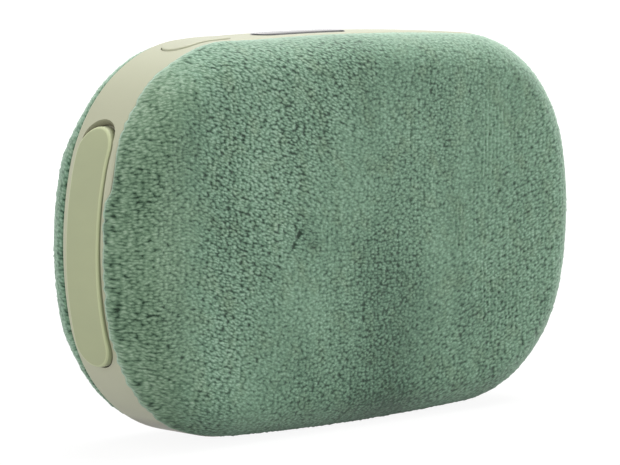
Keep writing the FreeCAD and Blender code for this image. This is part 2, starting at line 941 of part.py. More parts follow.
def port_flap():
    """The part of the flap that swings, with the stubs that close the port windows."""
    grow = port_window_clearance - flap_stub_clearance
    end = mouth_x - flap_stub_clearance
    zone = slab(flap_depth - flap_edge_round, -half_band, half_band)
    wide = usb_a_box(grow, (-width, end)).common(zone)
    small = usb_c_prism(grow, -width, end).common(zone)
    return fused(flap_plate().common(beyond_hinge(1)), wide, small)


def flap_anchor():
    """The fixed end of the flap, with a headed post through the panel."""
    end = flap_plate().common(beyond_hinge(-1))
    frame = left_frame(anchor_z)
    back = panel_back + anchor_clearance
    post = rod(anchor_post_radius, Vector(0, 0, -back), Vector(0, 0, -flap_depth / 2))
    head = rod(anchor_head_radius, Vector(0, 0, -back - anchor_head_height), Vector(0, 0, -back))
    return fused(end, placed(post, frame), placed(head, frame))


# Power button and switch

def power_button():
    """Curved cap that fills its hole in the band, with a flange that keeps it in and a nub under it."""
    cap = placed(capsule(button_length, button_width, -overrun, overrun), button_frame)
    cap = on_top(cap.common(hoop(-button_proud, flange_top + seat_gap, -half_band, half_band)))
    cap = cap.makeFillet(button_edge_round, rim_edges(outer_faces(cap, -button_proud)))
    long = button_length + 2 * button_flange
    broad = button_width + 2 * button_flange
    flange = placed(capsule(long, broad, -overrun, overrun), button_frame)
    bottom = flange_top + button_flange_thickness
    flange = on_top(flange.common(hoop(flange_top, bottom, -half_band, half_band)))
    nub = rod(button_nub_radius, Vector(0, 0, -nub_bottom), Vector(0, 0, -flange_top))
    return fused(cap, flange, placed(nub, button_frame))


def switch_body():
    z = (-switch_top - switch_height, -switch_top)
    body = block(around(0, switch_side), around(0, switch_side), z)
    well = stem_seat + button_travel + stem_clearance
    bottom = Vector(0, 0, -switch_top - well)
    hole = rod(stem_radius + stem_clearance, bottom, bottom + Vector(0, 0, overrun))
    return placed(body.cut(hole), button_frame)


def switch_stem():
    stem = rod(stem_radius, Vector(0, 0, -switch_top - stem_seat), Vector(0, 0, -stem_top))
    return placed(stem, button_frame)


def small_board(spacing, breadth, top, frame):
    """Small board on two posts."""
    long = spacing + 2 * small_board_end
    plate = block(around(0, long), around(0, breadth), (-top - small_board_thickness, -top - stack_gap))
    for side in (-1, 1):
        point = Vector(side * spacing / 2, 0, -top)
        plate = plate.cut(rod(small_screw_radius + seat_gap, point - Vector(0, 0, overrun), point))
    return placed(plate, frame)


def small_board_screws(spacing, top, frame):
    """Two screws up through a small board into its posts."""
    pair = []
    for side in (-1, 1):
        point = Vector(side * spacing / 2, 0, -top - small_board_thickness - stack_gap)
        pair.append(placed(placed(small_screw(), facing(point, Vector(0, 0, -1))), frame))
    return group(pair)


# Display

def display_lens():
    prism = placed(capsule(lens_length, lens_width, -overrun, overrun), display_frame)
    lens = on_top(prism.common(hoop(-lens_proud, lens_seat_depth - stack_gap, -half_band, half_band)))
    return lens.makeFillet(lens_edge_round, rim_edges(outer_faces(lens, -lens_proud)))


def display_gasket():
    long = module_length + 2 * gasket_wall
    broad = module_width + 2 * gasket_wall
    z = (-gasket_top - gasket_thickness, -gasket_top)
    ring = block(around(0, long), around(0, broad), z)
    hole = block(around(0, module_length - 2 * gasket_wall), around(0, module_width - 2 * gasket_wall), z)
    return placed(ring.cut(hole), display_frame)


def display_module():
    z = (-module_top - module_height, -module_top)
    return placed(block(around(0, module_length), around(0, module_width), z), display_frame)


# Screws, wires and ribbon

def tray_screws():
    body = screw(tray_screw_radius, tray_screw_length, tray_screw_head_radius, tray_screw_head_height)
    body = placed(body, facing(Vector(0, 0, half_tray), Vector(0, 0, 1)))
    return group(placed(body, frame) for frame in lug_frames)


def board_screws():
    pair = []
    for point in board_post_points():
        seat = point + Vector(0, board_face + board_thickness + stack_gap, 0)
        pair.append(placed(small_screw(), facing(seat, Vector(0, 1, 0))))
    return group(pair)


def battery_wire(place):
    """Wire from the protection board to the main board, one pitch further up for each place."""
    z = half_height - protection_length / 2 + place * wire_pitch
    y = -(cell_face + half_tray) / 2
    x = bay_right - 2 * battery_wire_radius
    start = Vector(protection_left - stack_gap, y, z)
    end = Vector(x, board_face - stack_gap, z)
    return wire_tube(battery_wire_radius, [start, Vector(x, y, z), end])


def between_ports(place):
    """Height of one of a pair of wires in the gap between the two ports."""
    low = usb_c_z + usb_c_width / 2
    high = usb_a_z - usb_a_width / 2
    return (low + high) / 2 + place


def stepped_wire(radius, start, shift, end_y):
    """Wire that runs along Y with one sideways step."""
    run = end_y - start.y
    first = Vector(start.x, start.y + run / 3, start.z)
    second = Vector(start.x + shift, end_y - run / 3, start.z)
    return wire_tube(radius, [start, first, second, Vector(second.x, end_y, start.z)])


def front_heater_leads():
    x = mouth_x + usb_c_depth + wire_pitch / 2
    start = -trace_face + trace_thickness + stack_gap
    wires = []
    for place in (-1, 1):
        point = Vector(x, start, between_ports(place * wire_pitch / 2))
        wires.append(stepped_wire(heater_wire_radius, point, wire_pitch, board_face - stack_gap))
    return group(wires)


def rear_heater_leads():
    x = board_right - board_lap - 2 * wire_pitch
    start = trace_face - trace_thickness - stack_gap
    wires = []
    for place in (1, 2):
        z = coil_z + inductor_side / 2 + place * wire_pitch
        end_y = board_face + board_thickness + stack_gap
        wires.append(stepped_wire(heater_wire_radius, Vector(x, start, z), wire_pitch, end_y))
    return group(wires)


sensor_x = mouth_x + usb_c_depth - wire_pitch
sensor_y = sensor_radius + stack_gap + trace_thickness - trace_face


def thermistor():
    return Part.makeSphere(sensor_radius, Vector(sensor_x, sensor_y, between_ports(0)))


def thermistor_leads():
    wires = []
    for place in (-1, 1):
        start = Vector(sensor_x, sensor_y + sensor_radius, between_ports(place * sensor_wire_pitch / 2))
        wires.append(rod(sensor_wire_radius, start, Vector(start.x, board_face - stack_gap, start.z)))
    return group(wires)


def display_ribbon():
    """Flat flex from under the display board, along the top and down to the main board."""
    back = board_face + board_thickness + stack_gap
    y = (back, back + ribbon_thickness)
    level = (cell_top + stack_gap, cell_top + stack_gap + ribbon_width)
    left = board_right - ribbon_width
    right = display_x - display_post_spacing / 4
    board_low = display_board_top + small_board_thickness + stack_gap
    top = display_frame.multVec(Vector(-display_post_spacing / 2, 0, -board_low)).z
    run = block((left, right), y, level)
    drop = block((left, left + ribbon_width), y, (board_top - ribbon_lap, level[1]))
    rise = block((right - ribbon_width, right), y, (level[0], top))
    return fused(run, drop, rise)


def switch_leads():
    """Two wires from the switch board down to the main board."""
    wires = []
    for side in (-1, 1):
        board_low = switch_board_top + small_board_thickness + stack_gap
        y = switch_board_width / 2 - switch_lead_inset
        start = button_frame.multVec(Vector(side * wire_pitch / 2 - switch_side, y, -board_low))
        low = Vector(start.x, y, board_top - wire_pitch / 2)
        end = Vector(low.x, board_face - stack_gap, low.z)
        wires.append(wire_tube(sensor_wire_radius, [start, low, end]))
    return group(wires)


front = {
    "plush": plush(),
    "foam": foam(),
    "shell": shell(),
    "heat_plate": heat_plate(),
    "heater_film": heater_film(),
    "heater_trace": heater_trace(),
    "insulation": insulation(),
    "cell": cell(),
    "cell_tape": cell_tape(),
}
switch_board = small_board(switch_post_spacing, switch_board_width, switch_board_top, button_frame)
display_board = small_board(display_post_spacing, display_board_width, display_board_top, display_frame)
nodes = {"front_" + name: shape for name, shape in front.items()}
nodes.update({"rear_" + name: rear(shape) for name, shape in front.items()})
nodes.update(
    {
        "band_frame": band_frame(),
        "port_panel": port_panel(),
        "port_flap": port_flap(),
        "flap_anchor": flap_anchor(),
        "tray": tray(),
        "tray_screws": tray_screws(),
        "cell_links": cell_links(),
        "protection_board": protection_board(),
        "battery_lead_red": battery_wire(1),
        "battery_lead_black": battery_wire(2),
        "main_board": main_board(),
        "board_screws": board_screws(),
        "board_chips": board_chips(),
        "inductor": inductor(),
        "capacitors": capacitors(),
        "usb_a_shell": usb_a_shell(),
        "usb_a_tongue": usb_a_tongue(),
        "usb_a_contacts": usb_a_contacts(),
        "usb_c_shell": usb_c_shell(),
        "usb_c_tongue": usb_c_tongue(),
        "front_heater_leads": front_heater_leads(),
        "rear_heater_leads": rear_heater_leads(),
        "thermistor": thermistor(),
        "thermistor_leads": thermistor_leads(),
        "power_button": power_button(),
        "switch_body": switch_body(),
        "switch_stem": switch_stem(),
        "switch_board": switch_board,
        "switch_screws": small_board_screws(switch_post_spacing, switch_board_top, button_frame),
        "switch_leads": switch_leads(),
        "display_lens": display_lens(),
        "display_gasket": display_gasket(),
        "display_module": display_module(),
        "display_board": display_board,
        "display_screws": small_board_screws(display_post_spacing, display_board_top, display_frame),
        "display_ribbon": display_ribbon(),
    }
)

os.makedirs("parts", exist_ok=True)
for name, shape in nodes.items():
    shape.exportStep(os.path.join("parts", name + ".step"))
    state = "valid" if shape.isValid() else "INVALID"
    print(name, len(shape.Solids), "solids", round(shape.Volume, 3), "mm3", state)
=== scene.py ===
import json
import math

import bmesh
import bpy
import numpy as np
from mathutils import Matrix, Vector


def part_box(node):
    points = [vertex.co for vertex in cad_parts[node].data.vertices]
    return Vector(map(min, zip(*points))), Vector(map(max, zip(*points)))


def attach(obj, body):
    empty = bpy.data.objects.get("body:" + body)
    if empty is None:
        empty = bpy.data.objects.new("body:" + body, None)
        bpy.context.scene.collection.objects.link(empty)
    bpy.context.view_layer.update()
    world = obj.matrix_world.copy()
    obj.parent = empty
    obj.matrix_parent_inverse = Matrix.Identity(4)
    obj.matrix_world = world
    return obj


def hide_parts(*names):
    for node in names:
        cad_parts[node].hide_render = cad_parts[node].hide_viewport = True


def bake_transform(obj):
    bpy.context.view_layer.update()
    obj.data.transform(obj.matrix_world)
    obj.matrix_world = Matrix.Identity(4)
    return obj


bl_info = {
    "name": "Rechargeable hand warmer",
    "version": (1, 0, 0),
    "blender": (4, 5, 0),
    "location": "View3D > Sidebar > Hand warmer",
    "description": "Plush covers, soft port flap, finishes and studio for the packed hand warmer",
    "category": "Object",
}

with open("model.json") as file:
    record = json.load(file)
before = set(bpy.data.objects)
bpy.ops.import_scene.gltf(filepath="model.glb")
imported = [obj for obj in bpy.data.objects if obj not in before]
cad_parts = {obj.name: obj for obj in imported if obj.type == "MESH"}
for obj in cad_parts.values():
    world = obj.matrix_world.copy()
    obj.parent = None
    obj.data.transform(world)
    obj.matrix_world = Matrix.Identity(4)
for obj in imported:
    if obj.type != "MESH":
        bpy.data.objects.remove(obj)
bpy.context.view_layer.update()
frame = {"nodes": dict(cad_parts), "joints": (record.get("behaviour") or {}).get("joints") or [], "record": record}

MM = 0.001

# Form of a face, as the solids have it
long_radius = 665 * MM
short_radius = 62.6 * MM
corner_radius = 29 * MM
edge_round = 6.4 * MM
cover_thickness = 2.0 * MM
sponge_thickness = 1.2 * MM
cover_low, cover_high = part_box("front_plush")
half_width = (cover_high.x - cover_low.x) / 2
half_height = (cover_high.z - cover_low.z) / 2
middle = (cover_high.z + cover_low.z) / 2
face_reach = -cover_low.y
rim_reach = -cover_high.y
round_start = face_reach - edge_round

# Port flap and the post that holds it, as the solids have them
flap_top_proud = 0.55 * MM
flap_middle_proud = 0.6 * MM
flap_foot_proud = 1.5 * MM
flap_depth = 1.2 * MM
post_rise = 2.3 * MM
post_radius = 1.1 * MM
post_length = 4.28 * MM
head_radius = 1.9 * MM
head_length = 0.8 * MM
flap_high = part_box("port_flap")[1]
anchor_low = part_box("flap_anchor")[0]
flap_half_width = flap_high.y
flap_half_length = (flap_high.z - anchor_low.z) / 2
hinge = next(j for j in frame["joints"] if j["name"] == "flap_hinge")
hinge_x, hinge_y, hinge_z = hinge["pos_m"]

# Finer form of the scene's flap: its edge, its swelling into the gap round it, its bend, its plugs
flap_round = 0.45 * MM
flap_swell = 0.2 * MM
flap_step = 0.7 * MM
bend_breadth = 0.7 * MM
bend_thinning = 0.55 * MM
bend_half_length = 0.9 * MM
plug_length = 0.9 * MM
plug_end = 0.35 * MM
plug_play = 0.2 * MM
plug_bevel = 0.25 * MM


# Centres of the upper long arc and the right short arc, from the middle of a face
long_z = half_height - long_radius
short_x = half_width - short_radius


def corner_centre():
    """Centre of a corner arc, tangent inside a long side and a short side."""
    gap = math.hypot(short_x, long_z)
    from_long = long_radius - corner_radius
    from_short = short_radius - corner_radius
    along = (from_long**2 - from_short**2 + gap**2) / (2 * gap)
    aside = math.sqrt(from_long**2 - along**2)
    way_x, way_z = short_x / gap, -long_z / gap
    return way_x * along + way_z * aside, long_z + way_z * along - way_x * aside


corner_x, corner_z = corner_centre()
corner_start = math.atan2(corner_z, corner_x - short_x)
corner_end = math.atan2(corner_z - long_z, corner_x)


def inside(x, z):
    """How far inside the outline points of a face lie, and the way out from there."""
    u, v = np.abs(x), np.abs(z)
    angle = np.arctan2(v - corner_z, u - corner_x)
    at_corner = (angle > corner_start) & (angle < corner_end)
    to_long = long_radius - np.hypot(u, v - long_z)
    to_short = short_radius - np.hypot(u - short_x, v)
    to_corner = corner_radius - np.hypot(u - corner_x, v - corner_z)
    at_long = to_long < to_short
    inset = np.where(at_corner, to_corner, np.minimum(to_long, to_short))
    from_x = np.where(at_corner, corner_x, np.where(at_long, 0, short_x))
    from_z = np.where(at_corner, corner_z, np.where(at_long, long_z, 0))
    out_x, out_z = (u - from_x) * np.sign(x), (v - from_z) * np.sign(z)
    length = np.maximum(np.hypot(out_x, out_z), 1e-9)
    return inset, out_x / length, out_z / length


def outline(step):
    """Arc centre, arc radius and outward way of points about a step apart round a face."""
    ends = (corner_start, corner_end, math.pi - corner_end, math.pi - corner_start)
    turn = [-corner_start, *ends]
    turn += [math.pi + a for a in ends]
    centres = (
        (short_x, 0, short_radius),
        (corner_x, corner_z, corner_radius),
        (0, long_z, long_radius),
        (-corner_x, corner_z, corner_radius),
        (-short_x, 0, short_radius),
        (-corner_x, -corner_z, corner_radius),
        (0, -long_z, long_radius),
        (corner_x, -corner_z, corner_radius),
    )
    rows = []
    for (x, z, radius), start, end in zip(centres, turn, turn[1:]):
        count = max(2, round(radius * (end - start) / step))
        for angle in start + (end - start) * np.arange(count) / count:
            rows.append((x, z, radius, math.cos(angle), math.sin(angle)))
    return np.array(rows).T


def loft(rings):
    """Quads between rings of vertex numbers, each ring closed on itself."""
    faces = []
    for low, high in zip(rings, rings[1:]):
        for i in range(len(low)):
            j = (i + 1) % len(low)
            faces.append((low[i], low[j], high[j], high[i]))
    return faces


def piece(name, points, faces, body, slot):
    """A smooth mesh object that rides on a body and takes its finish from a slot."""
    mesh = bpy.data.meshes.new(name)
    mesh.from_pydata(points, [], faces)
    mesh.update()
    mesh.shade_smooth()
    made = bpy.data.objects.new(name, mesh)
    bpy.context.scene.collection.objects.link(made)
    if body:
        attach(made, body)
    mesh.materials.append(finish_for(slot))
    return made


# Cloth of a face: its straight wall, its length over the round edge, and what hangs past the face
wall = round_start - rim_reach
cloth_round = edge_round * math.pi / 2
overhang = wall + cloth_round - edge_round


def cloth_rings(step, ring_step):
    """Rings of points of a face's flat cloth, from its rim to its middle line, as X and Z."""
    x, z, radius, out_x, out_z = outline(step)
    deepest = corner_radius * 0.96
    rings = []
    for inset in np.linspace(-overhang, deepest, round((overhang + deepest) / ring_step)):
        rings.append((x + (radius - inset) * out_x, z + (radius - inset) * out_z))
    last_x, last_z = rings[-1]
    line = np.clip(last_x, half_height - half_width, half_width - half_height)
    for share in np.linspace(1, 0, round((half_height - deepest) / ring_step) + 1)[1:]:
        rings.append((line + (last_x - line) * share, last_z * share))
    return np.array(rings)


def on_cloth(side, x, z):
    """Places on a face of the flat cloth's points, with normals, runs from the rim and ways up."""
    inset, out_x, out_z = inside(x, z)
    run = inset + overhang
    turn = np.clip((run - wall) / edge_round, 0, math.pi / 2)
    real = np.where(run < wall + cloth_round, edge_round * (1 - np.cos(turn)), inset)
    low = np.minimum(run - wall, 0)
    reach = side * (round_start + edge_round * np.sin(turn) + low)
    points = np.stack([x + out_x * (inset - real), reach, z + out_z * (inset - real) + middle], 1)
    normal = np.stack([out_x * np.cos(turn), side * np.sin(turn), out_z * np.cos(turn)], 1)
    return points, normal, run, out_z


def numbered(skins):
    """Vertex numbers of each skin's rings, from how many rings it has and points in each."""
    made, start = [], 0
    for rings, count in skins:
        made.append([range(start + k * count, start + (k + 1) * count) for k in range(rings)])
        start += rings * count
    return made


def shut(outer, inner, side):
    """Faces of a closed layer between two skins that meet at their rims."""
    parts = [loft(outer), loft([inner[0], outer[0]]), [tuple(reversed(f)) for f in loft(inner)]]
    if side > 0:
        parts = [[tuple(reversed(f)) for f in faces] for faces in parts]
    return parts


def layer(side, outer, inner):
    """Points and faces of a dished layer between two depths below the pile."""
    rings = cloth_rings(2 * MM, 1.5 * MM)
    points, normal, *_ = on_cloth(side, rings[:, 0].ravel(), rings[:, 1].ravel())
    skins = numbered([(len(rings), rings.shape[2])] * 2)
    faces = sum(shut(*skins, side), [])
    return np.concatenate([points - normal * outer, points - normal * inner]), faces


# Shading

def srgb(colour, gain=1.0):
    """A colour as it looks on screen, from 0 to 1, as the shader's four numbers."""
    made = [((c + 0.055) / 1.055) ** 2.4 if c > 0.04045 else c / 12.92 for c in colour]
    return (*(min(1.0, c * gain) for c in made), 1.0)


class Value:
    """A number that changes over a surface. Arithmetic on it adds Math nodes."""

    def __init__(self, net, socket):
        self.net = net
        self.socket = socket

    def maths(self, operation, *terms):
        return self.net.add("ShaderNodeMath", {"operation": operation}, dict(enumerate(terms)))

    def __add__(self, other):
        return self.maths("ADD", self, other)

    def __sub__(self, other):
        return self.maths("SUBTRACT", self, other)

    def __rsub__(self, other):
        return self.maths("SUBTRACT", other, self)

    def __mul__(self, other):
        return self.maths("MULTIPLY", self, other)

    def __pow__(self, other):
        return self.maths("POWER", self, other)

    def __rpow__(self, other):
        return self.maths("POWER", other, self)

    __radd__ = __add__
    __rmul__ = __mul__


class Net:
    """Nodes of a tree, each added by its type, settings and sockets."""

    def __init__(self, tree):
        self.tree = tree
        tree.nodes.clear()

    def add(self, kind, settings=None, sockets=None, out=0):
        node = self.tree.nodes.new(kind)
        for key, value in (settings or {}).items():
            if key == "stops":
                ramp = node.color_ramp.elements
                while len(ramp) < len(value):
                    ramp.new(1.0)
                for stop, (place, colour) in zip(ramp, value):
                    stop.position = place
                    stop.color = colour
            else:
                setattr(node, key, value)
        for key, value in (sockets or {}).items():
            if isinstance(value, Value):
                self.tree.links.new(value.socket, node.inputs[key])
            else:
                node.inputs[key].default_value = value
        return Value(self, node.outputs[out]) if len(node.outputs) else None


class Finish(Net):
    """One procedural material of a piece."""

    def __init__(self, name):
        self.material = bpy.data.materials.new(name)
        self.material.use_nodes = True
        super().__init__(self.material.node_tree)

    def place(self, stretch=(1, 1, 1)):
        """Places on the piece, in metres, with each axis multiplied."""
        spot = self.add("ShaderNodeTexCoord", out="Object")
        sockets = {"Vector": spot, "Scale": stretch}
        return self.add("ShaderNodeMapping", {"vector_type": "POINT"}, sockets)

    def clouds(self, size, detail=2.0, stretch=(1, 1, 1)):
        """Soft variation from 0 to 1 whose patches have about a size in metres."""
        sockets = {"Vector": self.place(stretch), "Scale": 1 / size, "Detail": detail}
        return self.add("ShaderNodeTexNoise", {}, sockets, "Fac")

    def cells(self, size):
        """Distance to scattered points about a size in metres apart, in that size."""
        sockets = {"Vector": self.place(), "Scale": 1 / size}
        return self.add("ShaderNodeTexVoronoi", {"feature": "F1"}, sockets, "Distance")

    def blend(self, share, low, high, way="MIX"):
        """Colour between two others, which are a Mix node's sockets 6 and 7, and its output 2."""
        settings = {"data_type": "RGBA", "blend_type": way}
        return self.add("ShaderNodeMix", settings, {0: share, 6: low, 7: high}, 2)

    def ramp(self, value, stops):
        """Colour that follows a value through stops."""
        return self.add("ShaderNodeValToRGB", {"stops": stops}, {"Fac": value}, "Color")

    def relief(self, height, distance, under=None):
        """Normal of a surface with fine relief of a height in metres."""
        sockets = {"Height": height, "Distance": distance}
        if under:
            sockets["Normal"] = under
        return self.add("ShaderNodeBump", {}, sockets, "Normal")

    def done(self, **sockets):
        """Joins the shader to the output. Underscores in the names stand for spaces."""
        named = {key.replace("_", " "): value for key, value in sockets.items()}
        shader = self.add("ShaderNodeBsdfPrincipled", {}, named)
        self.add("ShaderNodeOutputMaterial", {}, {"Surface": shader})
        return self.material


def pile_finish(name):
    """Short plush pile: painted shade between its locks and painted sheen on them, lying as the cloth was combed.
    """
    look = bpy.context.scene.warmer_plush
    net = Finish(name)

    def painted(key, out="Fac"):
        """What the cover's points say of the pile."""
        return net.add("ShaderNodeAttribute", {"attribute_name": f"pile_{key}"}, out=out)

    cloth = painted("cloth", "Vector")

    def laid(length, breadth, lean):
        """Places on the flat cloth, counted in strokes of a size in mm that lean by an angle."""
        scale = (length * MM, breadth * MM, 1)
        sockets = {"Vector": cloth, "Rotation": (0, 0, lean), "Scale": scale}
        return net.add("ShaderNodeMapping", {"vector_type": "TEXTURE"}, sockets)

    def strokes(length, breadth, lean=0.0, detail=1.0):
        """Soft strokes, pale above 0 and dark below."""
        sockets = {"Vector": laid(length, breadth, lean), "Scale": 1.0, "Detail": detail}
        return net.add("ShaderNodeTexNoise", {"noise_dimensions": "2D"}, sockets, "Fac") - 0.5

    def locks(length, breadth, lean=0.0):
        """Separate locks of pile, painted pale in their middles as sheen and dark between them as shade, broken up
        by strokes.
        """
        room, even = 1.15, 0.42
        sockets = {"Vector": laid(length * room, breadth * room, lean), "Scale": 1.0}
        settings = {"voronoi_dimensions": "2D"}
        middle = even - net.add("ShaderNodeTexVoronoi", settings, sockets, "Distance")
        return middle * 0.45 + strokes(length, breadth, lean) * 0.5

    height, tone = painted("height"), painted("tone")
    left, upper, lower = painted("left"), painted("upper"), painted("lower")
    rest = 1 - left - upper - lower

    # Locks of each region, as length, breadth and lean, with their share and strength
    fine = locks(0.95, 0.43) * left * 1.1 + locks(0.9, 0.43, -0.3) * upper * 1.55
    fine = fine + locks(0.95, 0.48, 0.3) * lower * 1.1 + locks(0.78, 0.48) * rest * 1.05

    # Single fibres, and broad strokes where a brush has passed over the cloth
    fibre = strokes(0.2, 0.2, detail=2.0)
    brush = strokes(15, 19, 0.3, 2.0) * 0.6 + strokes(5, 34, 0.05) * 0.4

    # Place on the ramp from the roots to the tips, where low is painted shade and high is painted sheen
    shade = height * 0.3 + (tone - 0.5) * 0.1 + fine * look.contrast + fibre * 0.25
    shade = shade + brush * 0.45 + painted("shade") + 0.3
    stops = [
        (0.0, srgb(look.root_shade_colour, 0.45)),
        (0.08, srgb(look.root_shade_colour)),
        (0.5, srgb(look.pile_colour)),
        (0.95, srgb(look.tip_sheen_colour)),
    ]
    warm_white = srgb((1.0, 0.97, 0.95))
    sheen_facing = net.add("ShaderNodeLayerWeight", {}, {"Blend": 0.5}, "Facing")
    warm = left + strokes(4, 6, 0.5, 2.0) * 3 * (1 - left)
    colour = net.blend(warm, net.ramp(shade, stops), warm_white, "MULTIPLY")
    # Painted sheen: the pile turns paler where it is seen aslant, as far as the rim's share allows
    colour = net.blend(sheen_facing**2.6 * painted("fuzz") * 0.82, colour, srgb(look.painted_sheen_colour))
    return net.done(
        Base_Color=colour,
        Roughness=0.8 + fibre * 0.2,
        Normal=net.relief(fibre, 0.06 * MM, net.relief(fine, 0.3 * MM)),
        Specular_IOR_Level=0.2,
        Sheen_Weight=0.35,
        Sheen_Roughness=0.45,
        Sheen_Tint=srgb((0.82, 0.92, 0.85)),
    )


def sponge_finish(name):
    """Open foam, pitted all over, with painted shade in its pits."""
    net = Finish(name)
    pores = net.cells(0.5 * MM)
    colour = net.ramp(pores, [(0.05, srgb((0.62, 0.6, 0.52))), (0.5, srgb((0.88, 0.87, 0.8)))])
    return net.done(Base_Color=colour, Roughness=0.95, Normal=net.relief(pores, 0.15 * MM))


def moulded(name, colour, rough, grain, depth, patch, coat=0.0, sheen=0.0, crevice_shade=0.0, edge_highlight=0.0):
    """Moulded plastic or rubber: grain, flow marks, uneven shine, painted shade in crevices and a painted
    highlight on marked edges.

    Grain, its depth and the flow marks' patches are in mm.
    """
    net = Finish(name)
    flow = net.clouds(patch * MM, 3, (1, 1, 2.2))
    speck = net.clouds(grain * MM, 2)
    tint = net.blend(flow, srgb(colour, 0.94), srgb(colour, 1.05))
    tint = net.blend((speck - 0.5) * 0.25, tint, srgb(colour, 0.8))
    # Painted shade in crevices, darkest where the piece is most shut in
    if crevice_shade:
        reach = {"Distance": 6 * MM}
        open_air = net.add("ShaderNodeAmbientOcclusion", {"samples": 8}, reach, "AO")
        sockets = {"Value": open_air, "From Min": 0.75, "From Max": 0.3}
        shut_in = net.add("ShaderNodeMapRange", {}, sockets)
        tint = net.blend(shut_in * crevice_shade, tint, srgb((0.72, 0.67, 0.47), 0.2))
    # Painted highlight on the points that the piece marks as its edge
    if edge_highlight:
        edge = net.add("ShaderNodeAttribute", {"attribute_name": "pale_edge"}, out="Fac")
        tint = net.blend(edge * edge_highlight, tint, srgb(colour, 1.7))
    shine = rough + (flow - 0.5) * 0.12 + (speck - 0.5) * 0.1
    return net.done(
        Base_Color=tint,
        Roughness=shine,
        Normal=net.relief(speck, depth * MM),
        Coat_Weight=coat,
        Sheen_Weight=sheen,
    )


def metal(name, colour, rough, way, stain):
    """Bare metal with drawn or rolled streaks and faint stains."""
    net = Finish(name)
    streak = net.clouds(2.4 * MM, 2, way)
    patch = net.clouds(4 * MM, 3)
    tint = net.blend(patch * stain, srgb(colour), srgb(colour, 0.72))
    return net.done(
        Base_Color=tint,
        Metallic=1.0,
        Roughness=rough + (streak - 0.5) * 0.25,
        Normal=net.relief(streak, 0.004 * MM),
    )


def circuit(name, colour):
    """Solder mask over copper tracks."""
    net = Finish(name)
    settings = {"offset": 0.35, "squash": 0.7, "squash_frequency": 3}
    sockets = {
        "Vector": net.place(),
        "Scale": 1 / (4 * MM),
        "Mortar Size": 0.06,
        "Mortar Smooth": 0.2,
        "Brick Width": 0.9,
        "Row Height": 0.25,
    }
    track = net.add("ShaderNodeTexBrick", settings, sockets, "Fac")
    tint = net.blend(track, srgb(colour), srgb((0.2, 0.5, 0.24)))
    mottle = net.clouds(3 * MM)
    tint = net.blend(mottle * 0.3, tint, srgb(colour, 0.6))
    return net.done(
        Base_Color=tint,
        Roughness=0.3 + mottle * 0.15,
        Normal=net.relief(track, 0.03 * MM),
        Coat_Weight=0.3,
    )


def foil(name, colour):
    """Laminated foil of a pouch cell, pressed into a fine diamond pattern."""
    net = Finish(name)
    bands = []
    for way in ((1, 1, 1), (-1, 1, 1)):
        sockets = {"Vector": net.place(way), "Scale": 1 / (9 * MM), "Distortion": 0.3}
        bands.append(net.add("ShaderNodeTexWave", {"bands_direction": "DIAGONAL"}, sockets, "Fac"))
    press = bands[0] * bands[1]
    wrinkle = net.clouds(7 * MM, 3)
    tint = net.blend(wrinkle, srgb(colour, 0.85), srgb(colour, 1.1))
    normal = net.relief(wrinkle, 0.2 * MM, net.relief(press, 0.05 * MM))
    return net.done(Base_Color=tint, Metallic=0.85, Roughness=0.32 + wrinkle * 0.2, Normal=normal)


def fibrous(name, colour, size=0.3):
    """Felt, paper or tape: matted fibres."""
    net = Finish(name)
    fibre = net.clouds(size * MM, 4, (1, 1, 4)) * 0.5 + net.clouds(size * MM, 4, (4, 1, 1)) * 0.5
    tint = net.blend(fibre, srgb(colour, 0.7), srgb(colour, 1.2))
    normal = net.relief(fibre, 0.08 * MM)
    return net.done(Base_Color=tint, Roughness=0.9, Normal=normal, Sheen_Weight=0.2)


def film(name, colour):
    """Amber heater film, glossy with faint drawing lines."""
    net = Finish(name)
    line = net.clouds(1.2 * MM, 3, (1, 1, 14))
    tint = net.blend(line, srgb(colour, 0.8), srgb(colour, 1.2))
    return net.done(
        Base_Color=tint,
        Roughness=0.18 + line * 0.15,
        Normal=net.relief(line, 0.01 * MM),
        Coat_Weight=0.5,
    )


def lens_finish(name):
    """Polished black window over the display, slightly crowned, with faint wipe marks."""
    net = Finish(name)
    wipe = net.clouds(5 * MM, 4, (1, 3, 1))
    across = net.add("ShaderNodeSeparateXYZ", {}, {0: net.place()}, "Y")
    crown = across * across * -47.0
    tint = net.blend(wipe, srgb((0.035, 0.036, 0.04)), srgb((0.07, 0.072, 0.08)))
    return net.done(
        Base_Color=tint,
        Roughness=0.05 + wipe**3 * 0.14,
        Normal=net.relief(crown, 1.0),
        Coat_Weight=0.2,
        Coat_Roughness=0.03,
    )


